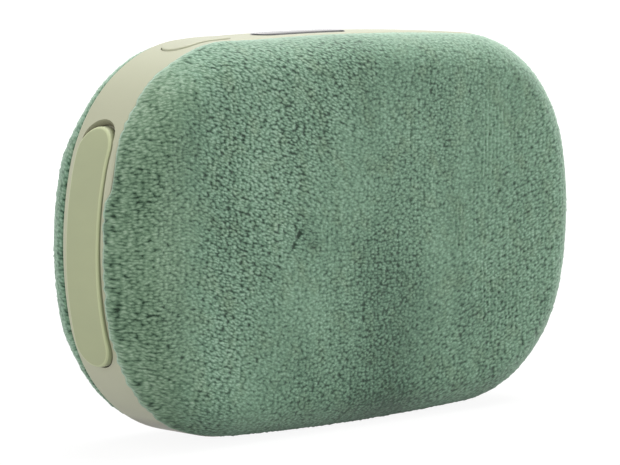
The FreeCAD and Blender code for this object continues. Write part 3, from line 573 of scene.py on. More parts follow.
def finish_for(slot):
    """The material of a slot of the record, made once."""
    made = bpy.data.materials.get(f"{slot}_finish")
    if made:
        return made
    case = bpy.context.scene.warmer_casing
    # Each slot's maker, with the values that it takes after the name
    makers = {
        "plush_green": (pile_finish,),
        "sponge": (sponge_finish,),
        # Band: painted shade in its crevices. Flap: a painted highlight on its edge
        "band_plastic": (moulded, case.band_colour, 0.42, 0.22, 0.005, 18, 0.0, 0.0, 0.8),
        "flap_silicone": (moulded, case.flap_colour, 0.58, 0.16, 0.008, 9, 0.0, 0.12, 0.0, 0.5),
        "button_plastic": (moulded, case.button_colour, 0.38, 0.2, 0.005, 6),
        "lens_black": (lens_finish,),
        "shell_plastic": (moulded, (0.76, 0.77, 0.72), 0.5, 0.3, 0.01, 12),
        "plate_aluminium": (metal, (0.9, 0.9, 0.91), 0.34, (1, 1, 40), 0.35),
        "film_amber": (film, (0.83, 0.55, 0.16)),
        "trace_copper": (metal, (0.86, 0.56, 0.4), 0.32, (1, 1, 1), 0.6),
        "felt_grey": (fibrous, (0.58, 0.58, 0.57)),
        "pouch_foil": (foil, (0.84, 0.85, 0.87)),
        "tape_white": (fibrous, (0.92, 0.92, 0.89), 0.15),
        "nickel": (metal, (0.82, 0.8, 0.76), 0.3, (1, 1, 18), 0.5),
        "board_green": (circuit, (0.07, 0.33, 0.17)),
        "chip_black": (moulded, (0.12, 0.12, 0.125), 0.55, 0.12, 0.006, 3),
        "ferrite": (moulded, (0.27, 0.27, 0.28), 0.7, 0.15, 0.02, 3),
        "capacitor_tan": (moulded, (0.72, 0.6, 0.44), 0.5, 0.1, 0.004, 2),
        "port_steel": (metal, (0.82, 0.82, 0.84), 0.24, (30, 1, 1), 0.3),
        "port_plastic": (moulded, (0.14, 0.14, 0.15), 0.45, 0.15, 0.004, 4),
        "contact_gold": (metal, (0.93, 0.77, 0.42), 0.22, (20, 1, 1), 0.4),
        "screw_steel": (metal, (0.72, 0.72, 0.74), 0.3, (6, 6, 6), 0.5),
        "wire_red": (moulded, (0.68, 0.09, 0.08), 0.4, 0.3, 0.004, 3),
        "wire_black": (moulded, (0.1, 0.1, 0.1), 0.4, 0.3, 0.004, 3),
        "wire_white": (moulded, (0.88, 0.88, 0.86), 0.42, 0.3, 0.004, 3),
        "gasket_black": (moulded, (0.13, 0.13, 0.13), 0.85, 0.1, 0.02, 2),
        "module_black": (moulded, (0.09, 0.09, 0.1), 0.25, 0.2, 0.002, 3, 0.3),
        "tray_black": (moulded, (0.2, 0.2, 0.205), 0.5, 0.25, 0.008, 8),
    }
    maker, *values = makers[slot]
    return maker(f"{slot}_finish", *values)


slot_of = {part["node"]: part["material_slot"] for part in frame["record"]["subparts"]}


def dress(*slots):
    """Gives the CAD nodes of these slots their finish."""
    for node, made in frame["nodes"].items():
        if slot_of[node] in slots:
            made.data.materials.clear()
            made.data.materials.append(finish_for(slot_of[node]))


# Plush

# How far to the left the pile beside the flap begins, and where it is full
flap_side = (35 * MM, 50 * MM)


def smooth(value, low, high):
    """0 below one value and 1 above another, smooth between."""
    share = np.clip((value - low) / (high - low), 0, 1)
    return share * share * (3 - 2 * share)


def hill(value, top, breadth):
    """1 at one value, falling to 0 on both sides of it."""
    return np.exp(-(((value - top) / breadth) ** 2))


def combing(side, x, z):
    """Angle of the pile's tufts on the flat cloth, and shares of its three regions from 0 to 1."""
    u, v = -side * x / MM, z / MM
    swirl = 0.2 * np.sin(u / 11 + v / 17 + 0.6) + 0.2 * np.sin(u / 5.3 - v / 6.7 + 1.9 + side)
    stations, degrees = (-55, -25, 0, 30, 50), (0, -18, -45, -105, -125)
    lean = swirl + np.radians(np.interp(u, stations, degrees))
    left = smooth(-u, 38, 53)
    upper = (1 - left) * smooth(0.6 * v - u, 0, 30)
    lower = smooth(u - 0.6 * v, 8, 42)
    return lean, left, upper, lower


def tufts(side, x, z, lean, stretch, spread):
    """Height of the pile, from 0 in its gaps to 1 on a tuft, and each tuft's tone from 0 to 1."""
    look = bpy.context.scene.warmer_plush
    count = 192  # columns and rows after which the scatter comes again
    random = np.random.default_rng(look.seed + (side > 0))
    jitter_x, jitter_z, heights, tones = random.uniform(0, 1, (4, count, count))
    pitch_x, pitch_z = look.tuft_pitch, look.tuft_pitch * 0.7
    long = look.tuft_pitch * (0.42 + 0.3 * stretch - 0.1 * spread)
    broad = look.tuft_pitch * (0.34 + 0.14 * spread)
    way_x, way_z = np.cos(lean), np.sin(lean)
    column = np.floor(x / pitch_x).astype(int)
    height, tone = np.zeros_like(x), np.zeros_like(x)
    for i in (-1, 0, 1):
        at = column + i
        shift = at % 2 / 2
        row = np.floor(z / pitch_z - shift).astype(int)
        for j in (-1, 0, 1):
            cell = (at % count, (row + j) % count)
            off_x = x - (at + 0.3 + 0.4 * jitter_x[cell]) * pitch_x
            off_z = z - (row + j + shift + 0.3 + 0.4 * jitter_z[cell]) * pitch_z
            along = off_x * way_x + off_z * way_z
            aside = off_z * way_x - off_x * way_z
            form = np.exp(-((along / long) ** 2) - (aside / broad) ** 2)
            bump = (0.5 + 0.5 * heights[cell]) * form
            higher = bump > height
            height = np.where(higher, bump, height)
            tone = np.where(higher, tones[cell], tone)
    return height, tone


def crease(x, z, start, end, breadth):
    """1 on a line of the pile, falling to 0 beside it."""
    step = np.subtract(end, start)
    spot = np.stack([x, z + middle], 1) - start
    share = np.clip(spot @ step / (step @ step), 0, 1)
    return hill(np.linalg.norm(spot - share[:, None] * step, axis=1), 0, breadth)


def pressed(x, z):
    """Mark pressed into the front pile and rubbed pile beside it, each from 0 to 1."""
    mark = np.array(bpy.context.scene.warmer_plush.mark)

    def dash(start, end, breadth):
        """A crease placed in mm from the mark's upper end."""
        return crease(x, z, mark + np.array(start) * MM, mark + np.array(end) * MM, breadth * MM)

    upper = dash((0.2, -0.2), (-0.25, -0.9), 0.34)
    lower = dash((-1.2, -2.1), (-1.75, -3.0), 0.34)
    rubbed = dash((2.6, -1.4), (3.8, -2.8), 1.3)
    return np.maximum(upper, 0.5 * lower), rubbed


def broad_strokes_and_shade(side, x, z):
    """How much darker or paler the pile looks in broad strokes: darker low in the middle, painted shade along the
    bottom, and paler near the top on the left.
    """
    # Start and end as X and Z, breadth, all in mm, and how much paler
    strokes = (
        ((4.0, 25.0), (8.0, 4.0), 10.0, -0.2),
        ((-16.0, 9.0), (4.0, 4.0), 7.0, -0.09),
        # Painted shade along the bottom
        ((-5.0, 2.0), (38.0, 2.0), 5.0, -0.08),
        ((-40.0, 66.0), (-18.0, 71.0), 5.0, 0.08),
    )
    total = np.zeros_like(x)
    for start, end, breadth, amount in strokes:
        ends = np.multiply(start, MM), np.multiply(end, MM)
        total += amount * crease(-side * x, z, *ends, breadth * MM)
    return total


def at_rim(side, x, z, run, up, ragged):
    """Nearness of a cover's points to its rim, how open the pile is there and how far it sinks."""
    look = bpy.context.scene.warmer_plush
    front, rear = side < 0, side > 0
    rim = np.clip(1 - run / look.rim_run, 0, 1) ** 2

    # The front pile stands open along the top, beside the flap and above it
    along_top = smooth(up, 0.1, 0.5) * (1 - 0.6 * smooth(up, 0.75, 0.97)) * front
    beside = smooth(-x, *flap_side) * (1 - 0.75 * smooth(z, 8.5 * MM, 11.5 * MM))
    above = 0.55 * smooth(-x, 22 * MM, 38 * MM) * smooth(up, 0.5, 0.75)
    fluff = front * np.maximum(beside, above)
    open_pile = np.maximum(along_top, fluff)

    # Elsewhere it is tucked in at the rim, and each cover is drawn in over its round edge
    tuck = look.rim_tuck * (1 - open_pile) * (0.55 + 0.9 * ragged)
    sunk = rim * (tuck - 0.3 * MM * open_pile * ragged)
    sunk = sunk - look.fluff * fluff * hill(run, MM, 1.4 * MM) * (0.85 + 0.3 * ragged)
    corner = smooth(np.abs(up), 0.25, 0.6) * (1 + 0.4 * (up > 0))
    drawn = look.edge_draw + rear * look.corner_draw * corner
    sunk = sunk + drawn * np.sin(2 * np.clip((run - wall) / edge_round, 0, math.pi / 2))
    return rim, open_pile, sunk


def rim_light_and_shade(side, x, z, run, up, ragged):
    """Painted light and shade near the rim, apart from the tuck: a painted highlight beside the flap, strongest
    towards its ends, and along the top; painted shade in pits beside the flap and along the front's foot.
    """
    front = side < 0
    edge = hill(run, 0, 5.5 * MM)
    beside_flap = smooth(-x, *flap_side)
    ends = 0.03 + 0.14 * smooth(np.abs(z), 8 * MM, 25 * MM)
    pit_shade = front * beside_flap * hill(run, 1.7 * MM, 0.6 * MM)
    top = (0.12 + 0.12 * smooth(-x, 10 * MM, 30 * MM)) * smooth(up, 0.2, 0.97)
    shade = ends * edge * beside_flap - 0.25 * pit_shade * smooth(ragged, 0.3, 0.7)
    return shade + edge * top - 0.14 * edge * smooth(-up, 0.6, 0.97) * front


def velvet(side, rings):
    """Points of a cover's pile, ring by ring, and the values its finish needs at each of them."""
    look = bpy.context.scene.warmer_plush
    x, z = rings[:, 0].ravel(), rings[:, 1].ravel()
    points, normal, run, up = on_cloth(side, x, z)
    lean, left, upper, lower = combing(side, x, z)
    height, tone = tufts(side, x, z, lean, 0.6 * left + 0.5 * upper, lower)
    shade = broad_strokes_and_shade(side, x, z)
    if side < 0:
        # The mark lies deeper than the gaps between tufts
        mark, rubbed = pressed(x, z)
        height = height - 1.5 * mark
        shade = shade - 0.8 * mark - 0.12 * rubbed
    # Uneven from column to column along the rim
    random = np.random.default_rng(look.seed + 5 + (side > 0))
    ragged = random.uniform(0, 1, rings.shape[2])
    ragged = np.tile((ragged + np.roll(ragged, 1)) / 2, len(rings))
    rim, open_pile, sunk = at_rim(side, x, z, run, up, ragged)
    # Painted shade in the tuck along the rim, on about half its columns, weaker on the rear cover and where the
    # pile stands open
    shade = shade - (0.35 - 0.15 * side) * rim * (ragged > 0.5) * (1 - open_pile)
    shade = shade + rim_light_and_shade(side, x, z, run, up, ragged)
    rise = look.pile_relief * np.clip(run / (1.2 * MM), 0.3, 1)
    points = points + normal * ((height - 0.8) * rise - sunk)[:, None]
    points[:, 1] += 0.5 * MM * rim * open_pile * (0.7 + 0.6 * ragged)
    # Share of the painted sheen near the rim: more at the top, much less at the foot
    fuzz = 0.25 * smooth(up, 0.6, 0.95) - 0.75 * smooth(-up, 0.5, 0.95)
    return points, {
        "height": height,
        "tone": tone,
        "left": left,
        "upper": upper,
        "lower": lower,
        "shade": shade,
        "fuzz": 1 + hill(run, 0, 7 * MM) * fuzz,
    }


def unroll(made, flat, pile_points, pile_faces, count):
    """Lays a cover flat in its map: the pile below, the rim as a strip, the backing on top."""
    mesh = made.data
    low, high = flat.min(0), flat.max(0)
    width, tall = high - low
    spots = (flat - low) / width
    margin, top = 0.004, tall / width
    backing = (1 - top - 6 * margin) / top
    pile = np.arange(len(flat)) < pile_points
    behind = (margin, top + 4 * margin) + spots * backing
    places = np.where(pile[:, None], margin + spots * (1 - 2 * margin), behind)
    numbers = np.empty(len(mesh.loops), int)
    mesh.loops.foreach_get("vertex_index", numbers)
    loops = places[numbers]
    start = 4 * pile_faces
    strip = slice(start, start + 4 * count)
    columns = (numbers[strip] % count).reshape(-1, 4)
    round_again = np.ptp(columns, axis=1) > 1
    columns[round_again] = np.where(columns[round_again] == 0, count, columns[round_again])
    across = np.where(pile[numbers[strip]], top + margin, top + 2 * margin)
    loops[strip] = np.stack([margin + columns.ravel() * (1 - 2 * margin) / count, across], 1)
    mesh.uv_layers.new(name="OFBake").uv.foreach_set("vector", loops.astype(np.float32).ravel())


def cover(name, side, node):
    """One plush cover, its pile outside and its smooth backing inside, as one closed mesh."""
    look = bpy.context.scene.warmer_plush
    rings = cloth_rings(look.mesh_step, look.mesh_step * 0.7)
    count = rings.shape[2]
    points, values = velvet(side, rings)
    inner = np.concatenate([rings[:-1:6], rings[-1:]])
    flat = np.concatenate([made.transpose(0, 2, 1).reshape(-1, 2) for made in (rings, inner)])
    behind, normal, *_ = on_cloth(side, *flat[len(points):].T)
    skins = numbered([(len(rings), count), (len(inner), count)])
    parts = shut(*skins, side)
    points = np.concatenate([points, behind - normal * cover_thickness])
    made = piece(name, points, sum(parts, []), "casing", "plush_green")
    unroll(made, flat, len(rings) * count, len(parts[0]), count)
    flat = np.pad(flat, ((0, 0), (0, 1))).astype(np.float32)
    cloth = made.data.attributes.new("pile_cloth", "FLOAT_VECTOR", "POINT")
    cloth.data.foreach_set("vector", flat.ravel())
    for key, found in values.items():
        found = np.pad(found, (0, len(behind))).astype(np.float32)
        made.data.attributes.new(f"pile_{key}", "FLOAT", "POINT").data.foreach_set("value", found)
    weld(made)
    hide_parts(node)


# Port flap

def capsule_ring(inset):
    """Points (along, across) of a capsule inside the flap's outline."""
    straight = flap_half_length - flap_half_width
    radius = flap_half_width + flap_swell - inset
    runs = np.linspace(-straight, straight, round(2 * straight / flap_step) + 1)
    turns = np.linspace(-math.pi / 2, math.pi / 2, 17)[1:-1]
    up = [(s, radius) for s in runs]
    top = [(straight + radius * math.cos(a), -radius * math.sin(a)) for a in turns]
    down = [(s, -radius) for s in runs[::-1]]
    low = [(-straight - radius * math.cos(a), radius * math.sin(a)) for a in turns]
    return np.array(up + top + down + low)


def half_width_at(rise):
    """Half the width of the outline at a distance from its middle."""
    if abs(rise) > short_radius * math.sin(corner_start):
        return corner_x + math.sqrt(corner_radius**2 - (abs(rise) - corner_z) ** 2)
    return short_x + math.sqrt(short_radius**2 - rise**2)


def circle_through(low, mid, high):
    """Centre and radius of the circle through three places."""
    rows = np.array([np.subtract(mid, low), np.subtract(high, mid)])
    halves = np.array([np.add(mid, low), np.add(high, mid)]) / 2
    centre = np.linalg.solve(rows, (rows * halves).sum(1))
    return centre, float(np.hypot(*(centre - mid)))


def flap_strip():
    """Points and faces of the curved flap, thinner where it bends, and the numbers of its edge, which gets a
    painted highlight.
    """
    stand = (
        (-flap_half_length, flap_foot_proud),
        (0, flap_middle_proud),
        (flap_half_length, flap_top_proud),
    )
    centre, reach = circle_through(*((half_width_at(rise) + proud, rise) for rise, proud in stand))
    turns = np.linspace(0, math.pi / 2, 6)
    radius = flap_half_width + flap_swell
    bevel = 0.12 * MM
    under = [(radius, 0.0), (radius * 0.5, 0.0), (bevel, 0.0), (0.0, bevel)]
    over = [(flap_round * (1 - math.cos(a)), flap_round * (1 - math.sin(a))) for a in turns]
    over += [(flap_round + 0.5 * MM, 0.0), (radius * 0.6, 0.0), (radius, 0.0)]
    points, rings = [], []
    for top, profile in ((False, under), (True, over)):
        for inset, level in profile:
            ring = capsule_ring(inset)
            rings.append(range(len(points), len(points) + len(ring)))
            for along, across in ring:
                bend = math.exp(-(((middle + along - hinge_z) / bend_breadth) ** 2))
                outer = centre[0] + math.sqrt(reach**2 - (along - centre[1]) ** 2)
                outer = max(outer, half_width_at(along) + flap_top_proud)
                inner = half_width_at(along) - flap_depth + bend_thinning * bend
                x = level - outer if top else -(inner + level)
                points.append((x, across, middle + along))
    edge = range(rings[len(under) + 1][0], rings[len(under) + len(turns) - 1][0])
    return points, [tuple(reversed(f)) for f in loft(rings)], edge


def rounded_plug(node, count=32):
    """Points and faces of a stub behind the flap that closes the mouth of a port."""
    low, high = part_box(node)
    half_y = (high.y - low.y) / 2 - plug_play
    half_z = (high.z - low.z) / 2 - plug_play
    mid_y, mid_z = (high.y + low.y) / 2, (high.z + low.z) / 2
    corner = min(half_y, half_z) * 0.35
    start, end = low.x - plug_length, low.x - plug_end
    profile = ((start, 0.0), (end - plug_bevel, 0.0), (end, plug_bevel), (end, corner * 0.9))
    points, rings = [], []
    for x, inset in profile:
        ring = []
        for k in range(count):
            angle = (k + 0.5) * math.tau / count
            way_y, way_z = math.cos(angle), math.sin(angle)
            y = math.copysign(half_y - corner, way_y) + (corner - inset) * way_y
            z = math.copysign(half_z - corner, way_z) + (corner - inset) * way_z
            ring.append((x, mid_y + y, mid_z + z))
        rings.append(range(len(points), len(points) + len(ring)))
        points += ring
    return points, [*loft(rings), tuple(rings[-1]), tuple(reversed(rings[0]))]


def headed_post(count=28):
    """Points and faces of the post that holds the flap's foot, its head behind the port panel."""
    rise = post_rise - flap_half_length
    tilt = (rise + corner_z) / corner_radius
    inward = Vector((math.sqrt(1 - tilt**2), 0, -tilt))
    origin = Vector((-half_width_at(rise), 0, middle + rise))
    spin = inward.to_track_quat("Z", "Y").to_matrix()
    end = post_length + head_length
    bevel = 0.2 * MM
    profile = (
        (post_radius, flap_depth / 2),
        (post_radius, post_length),
        (head_radius, post_length),
        (head_radius, end - bevel),
        (head_radius - bevel, end),
    )
    points, rings = [], []
    for radius, distance in profile:
        rings.append(range(len(points), len(points) + count))
        for k in range(count):
            angle = k * math.tau / count
            spot = Vector((radius * math.cos(angle), radius * math.sin(angle), distance))
            points.append(tuple(origin + spin @ spot))
    return points, [*loft(rings), tuple(rings[-1]), tuple(reversed(rings[0]))]


def joined(*parts):
    """Points and faces of several closed forms in one mesh."""
    points, faces = [], []
    for more, made in parts:
        faces += [tuple(n + len(points) for n in f) for f in made]
        points += list(more)
    return points, faces


def weld(made):
    """Merges points that lie on each other."""
    form = bmesh.new()
    form.from_mesh(made.data)
    bmesh.ops.remove_doubles(form, verts=form.verts, dist=0.001 * MM)
    bmesh.ops.recalc_face_normals(form, faces=form.faces)
    form.to_mesh(made.data)
    form.free()
    made.data.shade_smooth()


# Sizes and colours that a user would change

class WarmerPlush(bpy.types.PropertyGroup):
    """Pile of the two covers."""

    tuft_pitch: bpy.props.FloatProperty(
        name="Tuft pitch",
        description="Distance between columns of tufts",
        default=1.05 * MM,
        unit="LENGTH",
    )
    pile_relief: bpy.props.FloatProperty(
        name="Pile relief",
        description="Height of the tufts over the gaps between them",
        default=0.3 * MM,
        unit="LENGTH",
    )
    contrast: bpy.props.FloatProperty(
        name="Contrast", description="Strength of the pile's light and dark strokes", default=1.38
    )
    rim_tuck: bpy.props.FloatProperty(
        name="Rim tuck",
        description="How far the pile is drawn in at the rim",
        default=0.5 * MM,
        unit="LENGTH",
    )
    rim_run: bpy.props.FloatProperty(
        name="Rim run",
        description="Distance from the rim over which it is drawn in",
        default=1.8 * MM,
        unit="LENGTH",
    )
    fluff: bpy.props.FloatProperty(
        name="Fluff",
        description="How far the front pile bulges over the band beside the flap",
        default=0.9 * MM,
        unit="LENGTH",
    )
    edge_draw: bpy.props.FloatProperty(
        name="Edge draw",
        description="How far a cover is drawn in over its round edge",
        default=0.33 * MM,
        unit="LENGTH",
    )
    corner_draw: bpy.props.FloatProperty(
        name="Corner draw",
        description="How much further the rear cover is drawn in at its corners",
        default=0.55 * MM,
        unit="LENGTH",
    )
    mesh_step: bpy.props.FloatProperty(
        name="Mesh step",
        description="Distance between a cover's points along its rim",
        default=0.52 * MM,
        unit="LENGTH",
    )
    mark: bpy.props.FloatVectorProperty(
        name="Mark",
        description="Upper end of the pressed mark, X and Z",
        size=2,
        default=(-0.0189, 0.0383),
    )
    seed: bpy.props.IntProperty(name="Seed", description="Scatter of the pile", default=11)
    # Painted shade: colour of the pile in the gaps between tufts and in other shaded places
    root_shade_colour: bpy.props.FloatVectorProperty(
        name="Roots",
        description="Colour between the tufts",
        subtype="COLOR_GAMMA",
        default=(0.24, 0.35, 0.28),
    )
    pile_colour: bpy.props.FloatVectorProperty(
        name="Pile",
        description="Main colour of the pile",
        subtype="COLOR_GAMMA",
        default=(0.47, 0.605, 0.505),
    )
    # Painted sheen: colour of the palest tips
    tip_sheen_colour: bpy.props.FloatVectorProperty(
        name="Tips",
        description="Colour of the palest tips",
        subtype="COLOR_GAMMA",
        default=(0.65, 0.77, 0.68),
    )
    # Painted sheen: colour of the pile seen from its side
    painted_sheen_colour: bpy.props.FloatVectorProperty(
        name="Edge",
        description="Colour of the pile seen from its side",
        subtype="COLOR_GAMMA",
        default=(0.8, 0.89, 0.82),
    )


class WarmerCasing(bpy.types.PropertyGroup):
    """Hard and rubber pieces round the covers."""

    band_colour: bpy.props.FloatVectorProperty(
        name="Band",
        description="Colour of the band",
        subtype="COLOR_GAMMA",
        default=(0.74, 0.745, 0.64),
    )
    flap_colour: bpy.props.FloatVectorProperty(
        name="Flap",
        description="Colour of the port flap",
        subtype="COLOR_GAMMA",
        default=(0.675, 0.7, 0.55),
    )
    button_colour: bpy.props.FloatVectorProperty(
        name="Button",
        description="Colour of the power button",
        subtype="COLOR_GAMMA",
        default=(0.745, 0.75, 0.645),
    )


class WarmerStage(bpy.types.PropertyGroup):
    """Camera, lamps and floor."""

    azimuth: bpy.props.FloatProperty(
        name="Azimuth",
        description="Camera's turn round the object",
        default=-0.78571,
        subtype="ANGLE",
    )
    elevation: bpy.props.FloatProperty(
        name="Elevation", description="Camera's height angle", default=0.10127, subtype="ANGLE"
    )
    roll: bpy.props.FloatProperty(
        name="Roll", description="Camera's tilt", default=0.00622, subtype="ANGLE"
    )
    distance: bpy.props.FloatProperty(
        name="Distance",
        description="Camera to the middle of the object",
        default=0.63768,
        unit="LENGTH",
    )
    focal: bpy.props.FloatProperty(
        name="Focal length",
        description="Lens on a 36 mm sensor, in millimetres",
        default=194.79,
        unit="CAMERA",
    )
    aim: bpy.props.FloatVectorProperty(
        name="Aim",
        description="Object's middle from the view's middle, right and up, in frame widths",
        size=2,
        default=(0.02153, 0.01033),
    )
    ambient: bpy.props.FloatProperty(
        name="Ambient", description="Light from all round", default=0.45
    )
    key_power: bpy.props.FloatProperty(
        name="Key", description="Power of the large lamp above", default=7.7, unit="POWER"
    )
    side_power: bpy.props.FloatProperty(
        name="Side", description="Power of the lamp on the left", default=2.4, unit="POWER"
    )
    edge_power: bpy.props.FloatProperty(
        name="Edge",
        description="Power of the small lamp behind on the left",
        default=0.45,
        unit="POWER",
    )
    fill_power: bpy.props.FloatProperty(
        name="Fill", description="Power of the lamp beside the camera", default=2.4, unit="POWER"
    )
    floor_colour: bpy.props.FloatVectorProperty(
        name="Floor",
        description="Colour of the floor",
        subtype="COLOR_GAMMA",
        default=(0.72, 0.72, 0.72),
    )


# Operators

class WARMER_OT_covers(bpy.types.Operator):
    """Makes the two plush covers"""

    bl_idname = "warmer.covers"
    bl_label = "Plush covers"

    def execute(self, context):
        cover("front_cover", -1, "front_plush")
        cover("rear_cover", 1, "rear_plush")
        return {"FINISHED"}


class WARMER_OT_sponges(bpy.types.Operator):
    """Makes the sponge layers under the covers"""

    bl_idname = "warmer.sponges"
    bl_label = "Sponge layers"

    def execute(self, context):
        play = 0.05 * MM
        outer = cover_thickness + play
        inner = cover_thickness + sponge_thickness - play
        sponges = (("front_sponge", -1, "front_foam"), ("rear_sponge", 1, "rear_foam"))
        for name, side, node in sponges:
            made = piece(name, *layer(side, outer, inner), "casing", "sponge")
            weld(made)
            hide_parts(node)
        return {"FINISHED"}


class WARMER_OT_flap(bpy.types.Operator):
    """Makes the soft flap over the ports, fixed at its lower end"""

    bl_idname = "warmer.flap"
    bl_label = "Port flap"

    def execute(self, context):
        plugs = [rounded_plug(node) for node in ("usb_a_shell", "usb_c_shell")]
        *strip, edge = flap_strip()
        made = piece("soft_flap", *joined(strip, *plugs), None, "flap_silicone")
        # The flap's edge ring gets a painted highlight
        pale = made.data.attributes.new("pale_edge", "FLOAT", "POINT").data
        for number in edge:
            pale[number].value = 1.0
        weld(made)
        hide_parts("port_flap", "flap_anchor")
        start = (hinge_x, hinge_y, hinge_z - bend_half_length)
        end = (hinge_x, hinge_y, hinge_z + bend_half_length)
        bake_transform(made)
        post = piece("flap_post", *headed_post(), "casing", "flap_silicone")
        weld(post)
        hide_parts("flap_anchor")
        return {"FINISHED"}


class WARMER_OT_casing(bpy.types.Operator):
    """Finishes the band, port panel, button and display window"""

    bl_idname = "warmer.casing"
    bl_label = "Casing"

    def execute(self, context):
        dress("band_plastic", "button_plastic", "lens_black", "shell_plastic", "tray_black")
        return {"FINISHED"}


class WARMER_OT_heating(bpy.types.Operator):
    """Finishes the heat plates, heater films and insulation"""

    bl_idname = "warmer.heating"
    bl_label = "Heating"

    def execute(self, context):
        dress("plate_aluminium", "film_amber", "trace_copper", "felt_grey")
        return {"FINISHED"}


class WARMER_OT_power(bpy.types.Operator):
    """Finishes the cells, their links and the leads"""

    bl_idname = "warmer.power"
    bl_label = "Cells and leads"

    def execute(self, context):
        dress("pouch_foil", "tape_white", "nickel", "wire_red", "wire_black", "wire_white")
        return {"FINISHED"}


class WARMER_OT_electronics(bpy.types.Operator):
    """Finishes the boards, ports, switch and display"""

    bl_idname = "warmer.electronics"
    bl_label = "Electronics"

    def execute(self, context):
        dress("board_green", "chip_black", "ferrite", "capacitor_tan", "screw_steel")
        dress("port_steel", "port_plastic", "contact_gold", "gasket_black", "module_black")
        return {"FINISHED"}


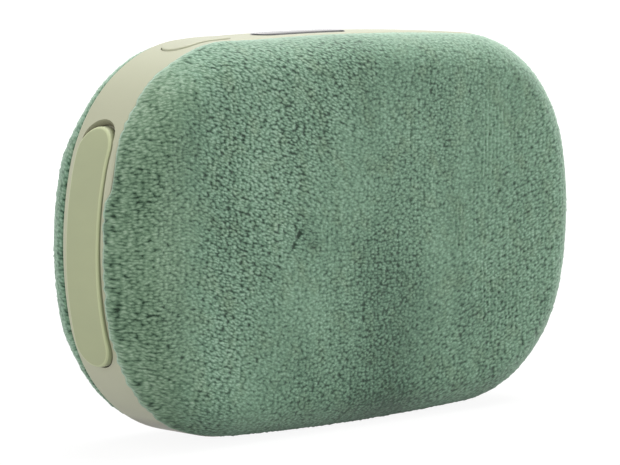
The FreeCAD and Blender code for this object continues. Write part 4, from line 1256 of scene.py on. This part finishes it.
class WARMER_OT_stage(bpy.types.Operator):
    """Makes the floor, the lamps, the world and the camera"""

    bl_idname = "warmer.stage"
    bl_label = "Stage"

    def execute(self, context):
        look = context.scene.warmer_stage
        context.scene.view_settings.view_transform = "Standard"
        centre = Vector((0, 0, middle))
        back = Vector(
            (
                math.sin(look.azimuth) * math.cos(look.elevation),
                -math.cos(look.azimuth) * math.cos(look.elevation),
                math.sin(look.elevation),
            )
        )
        self.floor(look)
        self.world(context, look)
        # Place, size and power of each lamp
        lamps = {
            "key_lamp": ((0.3, 0.08, 0.86), (0.9, 0.7), look.key_power),
            "side_lamp": ((-0.72, -0.28, 0.08), (0.5, 0.6), look.side_power),
            "edge_lamp": ((-0.5, 0.5, 0.2), (0.25, 0.25), look.edge_power),
            "fill_lamp": ((0.5, -0.75, 0.3), (0.6, 0.6), look.fill_power),
        }
        for name, (place, size, power) in lamps.items():
            self.lamp(name, place, centre, size, power)
        self.camera(context, look, centre, back)
        return {"FINISHED"}

    def floor(self, look):
        """A round sheet that is white to the camera and keeps the object's shadow."""
        count = 64
        points, rings = [], []
        for radius in (0.05, 0.3, 1.2, 4.0):
            rings.append(range(len(points), len(points) + count))
            for k in range(count):
                angle = k * math.tau / count
                points.append((radius * math.cos(angle), radius * math.sin(angle), 0))
        mesh = bpy.data.meshes.new("floor")
        mesh.from_pydata(points, [], [tuple(rings[0]), *[tuple(reversed(f)) for f in loft(rings)]])
        made = bpy.data.objects.new("floor", mesh)
        bpy.context.scene.collection.objects.link(made)
        net = Finish("floor_finish")
        matt = {"Base Color": srgb(look.floor_colour), "Roughness": 0.9}
        soft = net.add("ShaderNodeBsdfPrincipled", {}, matt)
        glow = net.add("ShaderNodeEmission", {}, {"Strength": 1.2})
        spot = net.add("ShaderNodeTexCoord", out="Object")
        far = net.add("ShaderNodeVectorMath", {"operation": "LENGTH"}, {0: spot}, "Value")
        reach = {"Value": far, "From Min": 0.07, "From Max": 0.3, "To Min": 0.76, "To Max": 0.94}
        seen = self.seen(net) * net.add("ShaderNodeMapRange", {}, reach)
        mixed = net.add("ShaderNodeMixShader", {}, {0: seen, 1: soft, 2: glow})
        net.add("ShaderNodeOutputMaterial", {}, {"Surface": mixed})
        mesh.materials.append(net.material)

    def seen(self, net):
        """1 for what the camera sees, directly, in a shiny surface or through a clear one."""
        direct, glossy, through = (
            net.add("ShaderNodeLightPath", out=f"Is {way} Ray")
            for way in ("Camera", "Glossy", "Transmission")
        )
        return direct.maths("MAXIMUM", direct.maths("MAXIMUM", direct, glossy), through)

    def world(self, context, look):
        """Even pale light from all round, white where the camera sees it."""
        made = bpy.data.worlds.new("studio")
        made.use_nodes = True
        net = Net(made.node_tree)
        light, white = (
            net.add("ShaderNodeBackground", {}, {"Color": (1, 1, 1, 1), "Strength": strength})
            for strength in (look.ambient, 1.0)
        )
        mixed = net.add("ShaderNodeMixShader", {}, {0: self.seen(net), 1: light, 2: white})
        net.add("ShaderNodeOutputWorld", {}, {"Surface": mixed})
        context.scene.world = made

    def lamp(self, name, place, target, size, power):
        """A soft rectangular lamp turned to the object."""
        made = bpy.data.lights.new(name, "AREA")
        made.shape = "RECTANGLE"
        made.size, made.size_y = size
        made.energy = power
        lamp = bpy.data.objects.new(name, made)
        lamp.location = place
        lamp.rotation_euler = (target - Vector(place)).to_track_quat("-Z", "Y").to_euler()
        bpy.context.scene.collection.objects.link(lamp)

    def camera(self, context, look, centre, back):
        """The photograph's view."""
        made = bpy.data.cameras.new("camera")
        made.sensor_fit = "HORIZONTAL"
        made.sensor_width = 36.0
        made.lens = look.focal
        made.clip_start, made.clip_end = 0.01, 50.0
        camera = bpy.data.objects.new("camera", made)
        place = centre + back * look.distance
        width = look.distance * made.sensor_width / made.lens
        right, up = self.axes(-back, look.roll)
        target = centre - (right * look.aim[0] + up * look.aim[1]) * width
        ahead = (target - place).normalized()
        right, up = self.axes(ahead, look.roll)
        turn = Matrix((right, up, -ahead)).transposed().to_4x4()
        camera.matrix_world = Matrix.Translation(place) @ turn
        context.scene.collection.objects.link(camera)
        context.scene.camera = camera

    def axes(self, ahead, roll):
        """Right and up of a view."""
        right = ahead.cross(Vector((0, 0, 1))).normalized()
        up = right.cross(ahead)
        cos, sin = math.cos(roll), math.sin(roll)
        return right * cos + up * sin, up * cos - right * sin


class WARMER_PT_panel(bpy.types.Panel):
    """Lists the pieces of the hand warmer"""

    bl_idname = "WARMER_PT_panel"
    bl_label = "Hand warmer"
    bl_space_type = "VIEW_3D"
    bl_region_type = "UI"
    bl_category = "Hand warmer"

    def draw(self, context):
        for name in groups:
            box = self.layout.box()
            group = getattr(context.scene, name)
            for key in group.__annotations__:
                box.prop(group, key)
        for made in operators:
            self.layout.operator(made.bl_idname)


operators = (
    WARMER_OT_stage,
    WARMER_OT_covers,
    WARMER_OT_sponges,
    WARMER_OT_flap,
    WARMER_OT_casing,
    WARMER_OT_heating,
    WARMER_OT_power,
    WARMER_OT_electronics,
)
groups = {"warmer_plush": WarmerPlush, "warmer_casing": WarmerCasing, "warmer_stage": WarmerStage}


def register():
    for made in (*groups.values(), *operators, WARMER_PT_panel):
        bpy.utils.register_class(made)
    for name, group in groups.items():
        setattr(bpy.types.Scene, name, bpy.props.PointerProperty(type=group))


def unregister():
    for name in groups:
        delattr(bpy.types.Scene, name)
    for made in (WARMER_PT_panel, *reversed(operators), *groups.values()):
        bpy.utils.unregister_class(made)


def main():
    register()
    bpy.ops.warmer.stage()
    bpy.ops.warmer.covers()
    bpy.ops.warmer.sponges()
    bpy.ops.warmer.flap()
    bpy.ops.warmer.casing()
    bpy.ops.warmer.heating()
    bpy.ops.warmer.power()
    bpy.ops.warmer.electronics()


if __name__ == "__main__":
    main()
